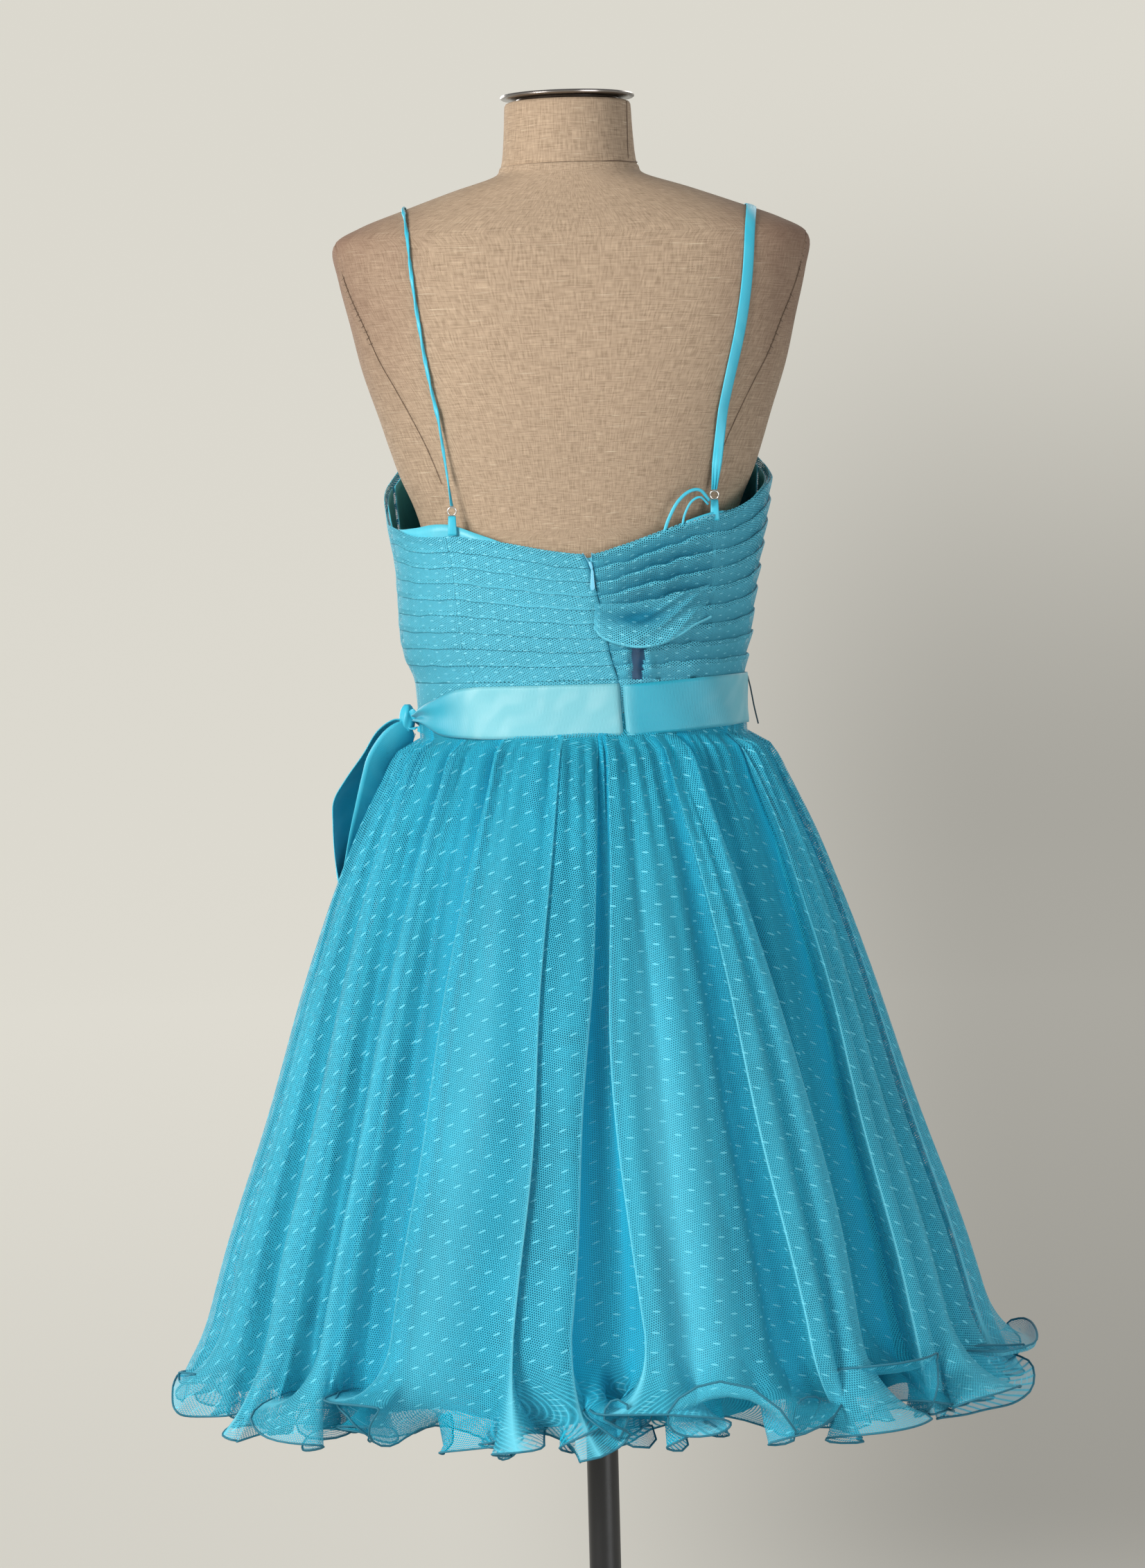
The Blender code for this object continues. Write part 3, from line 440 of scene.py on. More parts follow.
satin = make_satin("underskirt_satin", (0.008, 0.380, 0.570), 0.38)
lining_satin = make_satin("lining_satin", (0.090, 0.540, 0.680), 0.45)
belt_ribbon = make_ribbon("belt_ribbon", (0.150, 0.460, 0.525), (0.28, 0.57, 0.62), 0.45, 0.5)
bow_ribbon = make_ribbon("bow_ribbon", (0.030, 0.440, 0.590), (0.10, 0.56, 0.68), 0.25, 0.15)
print("satin for underskirt and lining; ribbons for belt and bow, with ribs", RIB, "apart")


# %% [markdown]
# The form is covered in linen: a plain weave with thick and thin threads both ways and pale slubs,
# and it is darker and redder towards the shoulder ends. The neck cap is polished steel, and the pole
# and base are black enamel.
# %% Linen, metals and threads
THREAD_PITCH = 0.00095


def make_linen():
    """Plain weave of uneven threads, darker and redder towards the shoulder ends."""
    made, shader, cloth, place = start_finish("linen", (0.42, 0.31, 0.20), 0.92)
    level = mottle(cloth, (90.0, 1000.0, 1.0), 1.5)
    upright = mottle(cloth, (1000.0, 100.0, 5.0), 1.5)
    threads = []
    for way, uneven in zip(parts_of(cloth), (upright, level)):
        along = reckon("MULTIPLY_ADD", way, 2 * math.pi / THREAD_PITCH, times(uneven, 9.0))
        threads.append(reckon("SINE", along))
    weave = reckon("MULTIPLY_ADD", reckon("ADD", level, upright), 0.33, 0.17)
    weave = reckon("MULTIPLY_ADD", times(*threads), 0.10, weave)
    base = mixed(spread_over(weave, 0.36, 0.64), (0.215, 0.148, 0.092), (0.485, 0.358, 0.243))
    slubs = spread_over(mottle(cloth, (45.0, 1100.0, 3.0), 1.0), 0.69, 0.75, 0.0, 0.55)
    base = mixed(slubs, base, (0.66, 0.55, 0.40))
    x, _, z = parts_of(place)
    side, high = spread_over(reckon("ABSOLUTE", x), 0.100, 0.190), spread_over(z, 1.20, 1.36)
    patch = spread_over(mottle(place, (18.0, 18.0, 12.0)), 0.30, 0.65, 0.45, 1.0)
    base = mixed(times(side, high, patch, 0.95), base, (0.150, 0.072, 0.048))
    give(shader, {"Base Color": base})
    bump(shader, weave, 0.0004, 0.7)
    return made


def make_hard(name, colour, roughness, metallic, grain):
    """Metal, paint or enamel with a little wear in its gloss."""
    made, shader, _, place = start_finish(name, colour, roughness, metallic)
    rub = mottle(place, grain, 4.0)
    give(shader, {"Roughness": spread_over(rub, 0.3, 0.7, roughness * 0.90, roughness * 1.12)})
    bump(shader, rub, 0.00004)
    return made


def make_thread(name, colour):
    """Sewing thread, with its twist as a change of tone."""
    made, shader, _, place = start_finish(name, colour, 0.75)
    twist = mottle(place, (900.0, 900.0, 900.0), 1.0)
    give(shader, {"Base Color": mixed(twist, darker(colour, 0.7), colour)})
    return made


linen = make_linen()
steel = make_hard("neck_steel", (0.24, 0.22, 0.21), 0.22, 1.0, (8.0, 8.0, 900.0))
black_metal = make_hard("black_metal", (0.012, 0.012, 0.013), 0.30, 0.0, (60.0, 60.0, 60.0))
nickel = make_hard("nickel", (0.72, 0.71, 0.69), 0.22, 1.0, (300.0, 300.0, 300.0))
zip_enamel = make_hard("zip_enamel", (0.16, 0.52, 0.70), 0.28, 0.0, (200.0, 200.0, 200.0))
dark_thread = make_thread("dark_thread", (0.012, 0.050, 0.070))
hem_thread = make_thread("hem_thread", (0.016, 0.185, 0.265))
white_thread = make_thread("white_thread", (0.75, 0.85, 0.87))
seam_thread = make_thread("seam_thread", (0.175, 0.115, 0.075))
print(len(bpy.data.materials), "materials in the file")


# %% [markdown]
# ## Meshes from grids and paths
# Almost every piece of cloth here is a grid: rows down it and columns across. Its UV map holds
# true lengths of cloth in metres, so weave and dots keep their size. Cords and stitches follow a
# path, which two Geometry Nodes trees make: one sweeps a round cord, and one sets short stitches
# at a spacing. The result is turned into a plain mesh at once.
# %% A skin over a grid of points
made_pieces = {}
# finish slot of each finish that isn't named after it
SLOTS = {
    "bodice_tulle": "dotted_tulle",
    "underskirt_satin": "satin",
    "lining_satin": "satin",
    "bow_ribbon": "belt_ribbon",
    "seam_thread": "linen",
}


def keep(name, mesh, body="dress", node=None, slot=None):
    """Object for a finished mesh, noted with its body, the CAD node it stands for and its slot."""
    made = bpy.data.objects.new(name, mesh)
    bpy.context.scene.collection.objects.link(made)
    finish = mesh.materials[-1].name.split(".")[0]
    made_pieces[name] = (made, body, (node,) if node else (), slot or SLOTS.get(finish, finish))
    return made


def skin(name, points, finish, uv=None, wrap=False, depth_and_shade=None, doubling_and_highlight=None, **kept):
    """Mesh over rows and columns of points. uv holds each face's left and right edges."""
    points = np.asarray(points, float)
    if wrap:
        points = np.concatenate((points, points[:, :1]), 1)
    rows, columns = points.shape[:2]
    if uv is None:
        across = np.linalg.norm(np.diff(points, axis=1), axis=2).mean(0)
        down = np.linalg.norm(np.diff(points, axis=0), axis=2).mean(1)
        u, v = np.append(0, across.cumsum()), -np.append(0, down.cumsum())
        grid = np.stack(np.meshgrid(u, v), -1)
        uv = np.stack((grid[:, :-1], grid[:, 1:]), 2)
    count = columns - 1 if wrap else columns
    number = np.arange(rows)[:, None] * count + np.arange(columns)[None] % count
    corners = (number[:-1, :-1], number[:-1, 1:], number[1:, 1:], number[1:, :-1])
    faces = np.stack(corners, -1).reshape(-1, 4)
    mesh = bpy.data.meshes.new(name)
    mesh.from_pydata(points[:, :count].reshape(-1, 3).tolist(), [], faces.tolist())
    sides = (uv[:-1, :, 0], uv[:-1, :, 1], uv[1:, :, 1], uv[1:, :, 0])
    mesh.uv_layers.new(name="cloth").data.foreach_set("uv", np.stack(sides, 2).reshape(-1))
    for title, values in (("depth_and_shade", depth_and_shade), ("doubling_and_highlight", doubling_and_highlight)):
        if values is not None:
            mesh.attributes.new(title, "FLOAT", "POINT").data.foreach_set("value", values.reshape(-1))
    mesh.polygons.foreach_set("use_smooth", [True] * len(mesh.polygons))
    mesh.materials.append(finish)
    return keep(name, mesh, **kept)


def thicken(piece, thickness, offset=-1.0):
    """Wall on a skin, inwards from it, or half to each side where the offset is 0."""
    wall = piece.modifiers.new("wall", "SOLIDIFY")
    wall.thickness, wall.offset = thickness, offset
    return piece


# %% Geometry Nodes: a round cord
def new_tree(name, inputs):
    """Geometry Nodes tree with named inputs."""
    tree = bpy.data.node_groups.new(name, "GeometryNodeTree")
    for title, kind in inputs:
        tree.interface.new_socket(title, in_out="INPUT", socket_type=kind)
    tree.interface.new_socket("Piece", in_out="OUTPUT", socket_type="NodeSocketGeometry")
    return tree, tree.nodes.new("NodeGroupInput").outputs, tree.nodes.new("NodeGroupOutput").inputs


FLOAT, SHAPE, FINISH = "NodeSocketFloat", "NodeSocketGeometry", "NodeSocketMaterial"
round_cord, given, result = new_tree("Round cord", (("Path", SHAPE), ("Radius", FLOAT), ("Finish", FINISH)))
curve = add_node(round_cord, "GeometryNodeMeshToCurve", {"Mesh": given["Path"]})
ring = add_node(round_cord, "GeometryNodeCurvePrimitiveCircle", {"Resolution": 6, "Radius": given["Radius"]})
inputs = {"Curve": curve.outputs[0], "Profile Curve": ring.outputs[0], "Fill Caps": True}
swept = add_node(round_cord, "GeometryNodeCurveToMesh", inputs)
inputs = {"Geometry": swept.outputs[0], "Material": given["Finish"]}
painted = add_node(round_cord, "GeometryNodeSetMaterial", inputs)
round_cord.links.new(painted.outputs[0], result["Piece"])

# %% Stitches along a path
stitch_sizes = [(title, FLOAT) for title in ("Spacing", "Length", "Radius", "Slant")]
stitches, given, result = new_tree("Stitches", [("Path", SHAPE), *stitch_sizes, ("Finish", FINISH)])
curve = add_node(stitches, "GeometryNodeMeshToCurve", {"Mesh": given["Path"]})
inputs = {"Curve": curve.outputs[0], "Length": given["Spacing"]}
places = add_node(stitches, "GeometryNodeCurveToPoints", inputs, mode="LENGTH")
number = add_node(stitches, "GeometryNodeInputIndex").outputs[0]
side = reckon("MULTIPLY_ADD", reckon("PINGPONG", number, 1.0), 2.0, -1.0)
turn = add_node(stitches, "ShaderNodeCombineXYZ", {0: times(side, given["Slant"])})
inputs = {0: places.outputs["Rotation"], 1: turn.outputs[0]}
lean = add_node(stitches, "FunctionNodeRotateRotation", inputs, rotation_space="LOCAL")
inputs = {"Vertices": 5, "Radius": given["Radius"], "Depth": given["Length"]}
thread = add_node(stitches, "GeometryNodeMeshCylinder", inputs)
inputs = {"Points": places.outputs["Points"], "Instance": thread.outputs[0], "Rotation": lean.outputs[0]}
sewn = add_node(stitches, "GeometryNodeInstanceOnPoints", inputs)
real = add_node(stitches, "GeometryNodeRealizeInstances", {0: sewn.outputs[0]})
inputs = {"Geometry": real.outputs[0], "Material": given["Finish"]}
painted = add_node(stitches, "GeometryNodeSetMaterial", inputs)
stitches.links.new(painted.outputs[0], result["Piece"])


# %% Growing a piece along its path
def grow(name, tree, paths, values, closed=False, **kept):
    """Runs a tree along one or more paths and keeps the plain mesh that it makes."""
    points, edges = [], []
    for path in paths:
        first = len(points)
        points += [tuple(p) for p in path]
        edges += [(i, i + 1) for i in range(first, len(points) - 1)]
        if closed:
            edges.append((len(points) - 1, first))
    mesh = bpy.data.meshes.new(name)
    mesh.from_pydata(points, edges, [])
    source = bpy.data.objects.new(name + "_path", mesh)
    bpy.context.scene.collection.objects.link(source)
    run = source.modifiers.new("tree", "NODES")
    run.node_group = tree
    for item in tree.interface.items_tree:
        if item.name in values:
            run[item.identifier] = values[item.name]
    ready = source.evaluated_get(bpy.context.evaluated_depsgraph_get())
    grown = bpy.data.meshes.new_from_object(ready)
    bpy.data.objects.remove(source, do_unlink=True)
    grown.name = name
    return keep(name, grown, **kept)


def cord(name, paths, radius, finish, closed=False, **kept):
    """Round cord of one radius along paths."""
    made = grow(name, round_cord, paths, {"Radius": radius, "Finish": finish}, closed, **kept)
    made.data.polygons.foreach_set("use_smooth", [True] * len(made.data.polygons))
    return made


# %% [markdown]
# ## The dress form
# A professional form is moulded, padded and covered in linen cut in panels. Its arm ends are
# closed by flat plates, and the seam round each plate runs from the shoulder end down under the
# arm. The torso is one grid whose columns crowd at that seam, so that a fine groove and a slight
# step can be pressed in exactly there.
# %% Torso
# height, how far out the seam of the arm plate lies
ARM_SEAM = (
    (1.150, 0.0930),
    (1.184, 0.1030),
    (1.216, 0.1150),
    (1.245, 0.1290),
    (1.262, 0.1380),
    (1.288, 0.1520),
    (1.312, 0.1620),
    (1.330, 0.1700),
    (1.349, 0.1770),
    (1.366, 0.1810),
    (1.383, 0.1850),
)


def arm_seam_angle(height, half_width):
    """Angle of the arm plate's seam on the torso's back."""
    share = np.clip(eased(ARM_SEAM, 1, height) / half_width, 0.0, 0.992)
    return np.degrees(np.arcsin(share ** (2.3 / 2)))


def make_torso():
    """Linen torso, with the seams of the arm plates."""
    rows = bent(TORSO, 6)
    height, half_width, back, front = (rows[:, i : i + 1] for i in range(4))
    seam = np.where(height < 1.15, 62.0, arm_seam_angle(height, half_width))
    edges = np.array((0.0, 0.006, 0.014, 0.026, 0.05))
    share = np.concatenate((edges, np.linspace(0.08, 0.92, 26), 1 - edges[:0:-1]))
    corners = (-seam, seam, 180.0 - seam, 180.0 + seam, 360.0 - seam)
    angle = np.concatenate([a + (b - a) * share for a, b in zip(corners, corners[1:])], 1)
    away = np.minimum(share, 1 - share)
    groove = -0.0011 * bell(away, 0.008)
    plate = -0.0012 * (1 - bell(away, 0.03))
    dent = np.concatenate((groove, groove + plate, groove, groove + plate))
    out = dent * ramp(height, 1.16, 0.02) * ramp(height, 1.392, -0.01)
    depth = np.where(np.cos(np.radians(angle)) >= 0, back, front)
    x, y = oval(angle, half_width + out, depth + out)
    grid = np.stack((x, y, np.broadcast_to(height, x.shape)), -1)
    lids = [(grid[i].mean(0) * (1 - s) + grid[i] * s)[None] for i, s in ((0, 0.6), (-1, 0.5))]
    return skin("torso", np.concatenate((lids[0], grid, lids[1])), linen, wrap=True, node="form_torso")


torso = make_torso()
print("torso faces", len(torso.data.polygons))


# %% [markdown]
# The neck is a short turned column with a rolled top edge, sewn to the torso with a dark seam. A
# thin polished cap with a rounded rim closes it. These are profiles spun round an axis, written
# as rings of points so that the linen keeps its true lengths.
# %% Neck, cap, pole and base
def spun(name, profile, finish, sides=96, squash=1.0, sharp=35.0, **kept):
    """Skin of rings through (radius, height) rows. squash narrows it front to back."""
    turns = np.linspace(0, 2 * np.pi, sides, endpoint=False)
    profile = np.array(profile, float)
    x = profile[:, :1] * np.sin(turns)
    y = profile[:, :1] * np.cos(turns) * squash
    z = np.broadcast_to(profile[:, 1:], x.shape)
    made = skin(name, np.stack((x, y, z), -1), finish, wrap=True, **kept)
    made.data.set_sharp_from_angle(angle=math.radians(sharp))
    return made


neck_profile = (
    (0.0200, 1.4866),
    (0.0420, 1.4868),
    (0.0460, 1.4866),
    (0.0483, 1.4856),
    (0.0493, 1.4838),
    (0.0496, 1.4800),
    (0.0500, 1.4700),
    (0.0506, 1.4600),
    (0.0515, 1.4480),
    (0.0524, 1.4410),
    (0.0532, 1.4375),
    (0.0530, 1.4364),
)
spun("neck", neck_profile, linen, squash=0.955, sharp=60, node="form_neck")
cap_profile = (
    (0.0004, 1.4918),
    (0.0480, 1.4918),
    (0.0505, 1.4922),
    (0.0519, 1.4919),
    (0.0525, 1.4910),
    (0.0524, 1.4900),
    (0.0515, 1.4893),
    (0.0480, 1.4891),
    (0.0400, 1.4886),
    (0.0395, 1.4872),
    (0.0010, 1.4872),
)
spun("neck_cap", cap_profile, steel, node="form_cap")
pole_profile = ((0.0005, 0.7998), (0.0125, 0.7998), (0.0125, 0.0104), (0.0005, 0.0104))
spun("pole", pole_profile, black_metal, 64, node="form_pole")
base_profile = (
    (0.0005, 0.0100),
    (0.1560, 0.0100),
    (0.1580, 0.0097),
    (0.1594, 0.0088),
    (0.1600, 0.0074),
    (0.1600, 0.0010),
    (0.1590, 0.0001),
    (0.0005, 0.0001),
)
spun("base", base_profile, black_metal, 128, node="form_base")

# %% [markdown]
# Dark thread shows along the neck's seam and its closing, and as short hand stitches across the
# seams of the arm plates. They are the smallest things on the form and still catch the eye.
# %% Seams and stitches of the form
MACHINE_THREAD, HAND_THREAD = 0.00028, 0.00022  # radius
turns = np.linspace(0, 2 * np.pi, 96, endpoint=False)
dip_of_seam = 1.4372 - 0.0018 * np.cos(turns) - 0.0012 * np.sin(turns) + 0.0004 * waves(turns, (1.9, 0.8), 2)
neck_seam = np.stack((0.0535 * np.sin(turns), 0.0511 * np.cos(turns), dip_of_seam), -1)
z = np.linspace(1.4370, 1.4850, 24)
aside = 0.0462 / np.interp(z, (1.437, 1.485), (0.0536, 0.0494))
closing = np.stack((np.full(24, -0.0462), 0.0480 * np.sqrt(1 - aside**2), z), -1)
cord("neck_seam", [neck_seam], MACHINE_THREAD, seam_thread, closed=True)
cord("neck_closing", [closing], MACHINE_THREAD, seam_thread)


def plate_seam(side, low, high, count, out=0.0):
    """Path along an arm plate's seam on the back, side 1 for the wearer's left."""
    z = np.linspace(high, low, count)
    half_width, back = eased(TORSO, 1, z), eased(TORSO, 2, z)
    x, y = oval(side * arm_seam_angle(z, half_width), half_width + out, back + out)
    return np.stack((x, y, z), -1)


both = [plate_seam(side, 1.190, 1.378, 60, -0.0003) for side in (1, -1)]
cord("arm_plate_seams", both, HAND_THREAD, seam_thread)
values = {"Spacing": 0.0052, "Length": 0.0050, "Radius": HAND_THREAD, "Slant": 1.35, "Finish": seam_thread}
hand = [plate_seam(1, 1.300, 1.352, 20), plate_seam(-1, 1.285, 1.330, 20), plate_seam(-1, 1.345, 1.372, 12)]
grow("arm_plate_stitches", stitches, hand, values)
print("seam cords and", len(made_pieces["arm_plate_stitches"][0].data.polygons), "stitch faces")


# %% [markdown]
# ## The pleated bodice
# Tulle is folded into narrow level pleats before the panels are cut, so every pleat is three
# layers deep at its edge and the net looks denser there. Each panel is one grid that really folds:
# down the front of a pleat, round its edge, up behind it and down again. On the loosened back
# right panel the folded edges have turned to face up. The lower rows lie under the belt.
# %% Seams and rows of a panel
HIGH = 0.125  # the pleated part of the back
WAIST_LENGTH = 0.72  # all the way round
SEAM = 0.02  # degrees left out beside a seam


def between(first, last):
    """A panel's two seams, as angles at the waist and at the top edge."""
    (a, b), (c, d) = SEAMS[first], SEAMS[last]
    if c < a:
        c, d = c + 360, d + 360
    return (a + SEAM, c - SEAM), (b + SEAM, d - SEAM)


def pleat_rows(pleats, upward, proud):
    """Rows down a panel: share of its height, and how far the cloth stands off there."""
    tiny, tuck = 0.0006 / HIGH, 0.0042 / HIGH
    rows = []
    for pleat in range(pleats - 1, -1, -1):
        low, up = pleat / pleats, (pleat + 1) / pleats
        span = up - low
        if upward:
            rows += [(up - tuck, 0.02), (up - tiny * 2, 0.35), (up - tiny, 0.8), (up - tiny * 2.5, 1.0)]
            rows += [(low + f * span, r) for f, r in ((0.75, 0.88), (0.5, 0.62), (0.25, 0.32), (0.04, 0.08))]
        else:
            rows += [(up - tiny, 0.10), (low + 0.75 * span, 0.30), (low + 0.5 * span, 0.50)]
            rows += [(low + 0.25 * span, 0.75), (low + tiny * 1.5, 1.0), (low, 0.9), (low + tiny, 0.5)]
            if pleat:
                rows += [(low + tuck, 0.15), (low + tuck * 0.8, 0.0)]
    turned_in = [(1.0 - 10 * tiny, -0.0012), (1.0 + tiny / 3, -0.0006), (1.0 + tiny, 0.0002)]
    under_belt = [(-0.001 / HIGH, 0.0002), (-0.6, 0.0), (-1.0, 0.0)]
    return turned_in + [(share, out * proud) for share, out in rows] + under_belt


# %% One pleated panel
def panel(
    name, seams, pleats, seed, proud, upward=False, sway=0.0006, opened=0.0, dip=None, loose=None, shade=0.22
):
    """Pleated panel between two seams, named after its CAD solid. proud is how far pleats stand."""
    waist, top = between(*seams)
    width = abs(waist[1] - waist[0]) / 360 * WAIST_LENGTH
    column = 0.0013 if loose else 0.0030
    across = np.linspace(0, 1, max(12, int(width / column)))
    across = np.unique(np.concatenate((across, (0.008, 0.992))))
    at_waist = waist[0] + across * (waist[1] - waist[0])
    at_top = top[0] + across * (top[1] - top[0])
    from_seam = np.minimum(across, 1 - across)
    from_zip = across if opened > 0 else 1 - across
    grid, depth_and_shade = [], []
    for share, out in pleat_rows(pleats, upward, proud):
        angle = at_waist + max(share, 0.0) * (at_top - at_waist)
        angle = angle + opened * max(0.0, (share - 0.72) / 0.28) * (1 - from_zip) ** 6
        height = PLEAT_START + share * (top_edge(angle) - PLEAT_START)
        if dip:
            height = height - max(share, 0.0) ** 2 * eased(dip, 1, angle)
        if share < 0:
            height = np.full_like(angle, PLEAT_START + share * (PLEAT_START - WAIST_SEAM))
        part = share * pleats
        lower = int(np.clip(math.floor(part), 0, pleats))
        sag = [sway * waves(across + 3.0 * k, (0.9, 0.37, 0.21), seed + k) for k in (lower, lower + 1)]
        sag = sag[0] * (1 - (part - lower)) + sag[1] * (part - lower)
        height = height + ramp(from_seam, 0, 0.15) * sag * (0 < share < 0.99)
        stand = out * (1.0 + 0.35 * waves(across, (0.8, 0.33), seed + 50 + lower))
        # Painted shade darkens the hollows where the cloth tucks back behind each pleat's edge.
        low = np.clip(1 - out / proud, 0, 1) * (0 < share < 0.985)
        dark = shade * low + 0 * angle
        if loose:
            slipped, shaded = loose(angle, height, out / proud)
            stand, dark = stand + slipped, low * shaded
        # Painted shade darkens the net along the gap at the zip.
        if opened:
            dark = np.maximum(dark, 0.95 * bell(from_zip * width, 0.0008))
        grid.append(on_dress(angle, height, stand - 0.0003 * bell(from_seam, 0.004)))
        depth_and_shade.append(dark)
    made = skin("pleated_" + name, grid, bodice_tulle, depth_and_shade=np.array(depth_and_shade), node="bodice_" + name)
    print(made.name, len(made.data.polygons), "faces")
    return made


# %% [markdown]
# The pieces are cut as a dressmaker would: back left, side left, back right, side right and front.
# At the left back the net's top edge sags a little, and a strip of the satin lining shows above it.
# %% The five panels
# angle, how far the net's top edge sags
NET_DIP = (
    (-180.0, 0.0),
    (12.0, 0.0),
    (30.0, 0.0045),
    (44.0, 0.0085),
    (56.0, 0.0075),
    (78.0, 0.0),
    (180.0, 0.0),
)


def loosened(angle, height, raised):
    """More standing off, and more shade in the hollows, where the back right pleats have slipped."""
    middle = bell(angle + 26.0, 19.0) * ramp(height, 1.070, 0.03)
    middle = middle * np.clip((1.152 - height) / 0.02, 0.25, 1)
    strip = 0.0026 * bell(angle + 13.4, 1.6) + 0.0048 * bell(angle + 20.5, 2.6)
    strip = strip * ramp(height, 1.078, -0.012) * ramp(height, 1.0345, 0.006)
    return 0.0044 * middle * np.maximum(raised - 0.25, -0.06) + strip, 0.55 + 0.45 * middle


panel("back_left", ("zip", "side_back_left"), 9, 3, 0.0004, opened=0.85, dip=NET_DIP, shade=0.05)
panel("side_left", ("side_back_left", "side_left"), 9, 23, 0.0005, dip=NET_DIP, shade=0.08)
panel("side_right", ("side_right", "side_back_right"), 9, 43, 0.0020, upward=True, shade=0.5)
panel("front", ("side_left", "side_right"), 13, 63, 0.0017)
slipped = {"upward": True, "sway": 0.0013, "opened": -0.85, "loose": loosened}
back_right = panel("back_right", ("side_back_right", "zip"), 9, 83, 0.0026, **slipped)


# %% [markdown]
# A slot is open in the back right panel, where its pleats have come away from the strip beside the
# zip. Faces inside the slot's sides are deleted, and its edges stay as they fall.
# %% The slot beside the zip
SLOT_END, SLOT_LOW, SLOT_HIGH = -0.0383, 1.0335, 1.0650
work = bmesh.new()
work.from_mesh(back_right.data)
gone = []
for face in work.faces:
    spot = face.calc_center_median()
    far_end = -0.0450 - 0.0044 * (spot.z - 1.035) / 0.028
    if far_end < spot.x < SLOT_END and SLOT_LOW < spot.z < SLOT_HIGH:
        gone.append(face)
bmesh.ops.delete(work, geom=gone, context="FACES")
work.to_mesh(back_right.data)
work.free()
print("slot opened through", len(gone), "faces")


# %% [markdown]
# The loose pleat sags below the others in a shallow bowl, with its folded edge rolled on itself.
# The net is a single layer there; painted shade darkens it in the bowl, and the lining behind it too.
# The rolled edge is pale where its net is doubled, with a painted highlight.
# %% The loose pleat
# angle, top, lowest edge, how far the edge stands off
LOOSE = (
    (-3.9, 1.0950, 1.0768, 0.0016),
    (-6.0, 1.0945, 1.0692, 0.0040),
    (-10.8, 1.0945, 1.0636, 0.0080),
    (-16.4, 1.0950, 1.0610, 0.0115),
    (-22.7, 1.0972, 1.0630, 0.0130),
    (-28.9, 1.1006, 1.0693, 0.0115),
    (-35.0, 1.1042, 1.0765, 0.0080),
    (-43.5, 1.1078, 1.0822, 0.0036),
)
# where a ridge starts, where it ends, how far it stands off
RIDGES = ((0.98, 0.20, 0.0024), (0.62, -0.15, 0.0016), (1.35, 0.62, 0.0018))
angle, high, low, off = bent(LOOSE, 9).T
grid, depth_and_shade = [], []
for share in np.linspace(0, 1, 30):
    bowl = bell(share - 0.36, 0.22)
    out = 0.0050 * (1 - share) ** 3 + off * share**1.4 + 0.0022
    for start, end, tall in RIDGES:
        ridge = start + (end - start) * np.clip((-angle - 9.0) / 28.0, 0, 1.2)
        out = out + tall * ramp(angle, -8.0, -8.0) * bell(share - ridge, 0.075)
    out = out - 0.0018 * bowl * bell(angle + 16.0, 8.0)
    out = 0.0010 + (out - 0.0010) * ramp(angle, -43.5, 9.0) ** 0.7
    crumple = 0.0006 * waves(angle + 22 * share, (7.0, 3.7, 2.3), 5) * math.sin(math.pi * share)
    grid.append(on_dress(angle, high + (low - high) * share, out + crumple))
    # Painted shade in the bowl.
    depth_and_shade.append(0.95 * bowl * bell(angle + 16.5, 8.5) + 0.25 * bowl)
for turn in np.radians(np.arange(20, 420, 28)):
    reach = 0.0014 * (1 - turn / 22)
    grid.append(on_dress(angle, low - reach * np.sin(turn) * 0.9, off + 0.0022 - reach * (1 - np.cos(turn))))
    depth_and_shade.append(0 * angle)
# Paleness of the doubled rolled edge, with a painted highlight.
rolled_edge = ramp(np.arange(len(grid)), 28.5, 2.0)[:, None] * (0.75 + 0 * angle)
looks = {"depth_and_shade": np.array(depth_and_shade), "doubling_and_highlight": rolled_edge}
swag = skin("loose_pleat", grid, bodice_tulle, node="bodice_loose_pleat", **looks)
print("loose pleat faces", len(swag.data.polygons))


# %% [markdown]
# Behind the net the bodice is lined in plain satin, which gives the net its depth of colour and
# shows inside the top edges at the sides. It is a skin with a thin wall.
# %% Lining and the zip's tape
def lining(side, low, high, inset, top_share, lift=None, lean=(0.0, 0.0)):
    """Plain cloth inside the bodice between two angles, with painted shade in the slot and under the loose
    pleat.
    """
    grid, depth_and_shade = [], []
    for share in (*np.linspace(0, 1, 24)[::-1], -1.0):
        up = max(share, 0)
        angle = np.linspace(low + lean[0] * up, high + lean[1] * up, int((high - low) / 1.1))
        height = PLEAT_START + up * top_share * (top_edge(angle) - PLEAT_START)
        if share < 0:
            height = np.full_like(angle, WAIST_SEAM + 0.0003)
        if lift:
            height = height + up**3 * eased(lift, 1, angle)
        sway = 0.0004 * waves(angle + 9 * share, (21.0, 9.0), 8)
        grid.append(on_dress(angle, height, -inset + sway * (0 < share < 1)))
        # Painted shade in the slot beside the zip and in the bowl under the loose pleat.
        slot = np.exp(-(((angle + 17.6) / 4.5) ** 4))
        slot = slot * ramp(height, 1.0720, -0.006) * ramp(height, 1.020, 0.006)
        bowl = 0.75 * bell(angle + 17.0, 7.0) * ramp(height, 1.082, 0.008) * ramp(height, 1.130, -0.014)
        depth_and_shade.append(np.maximum(slot, bowl))
    thicken(skin(side + "_lining", grid, lining_satin, depth_and_shade=np.array(depth_and_shade), node="lining_" + side), 0.0010)


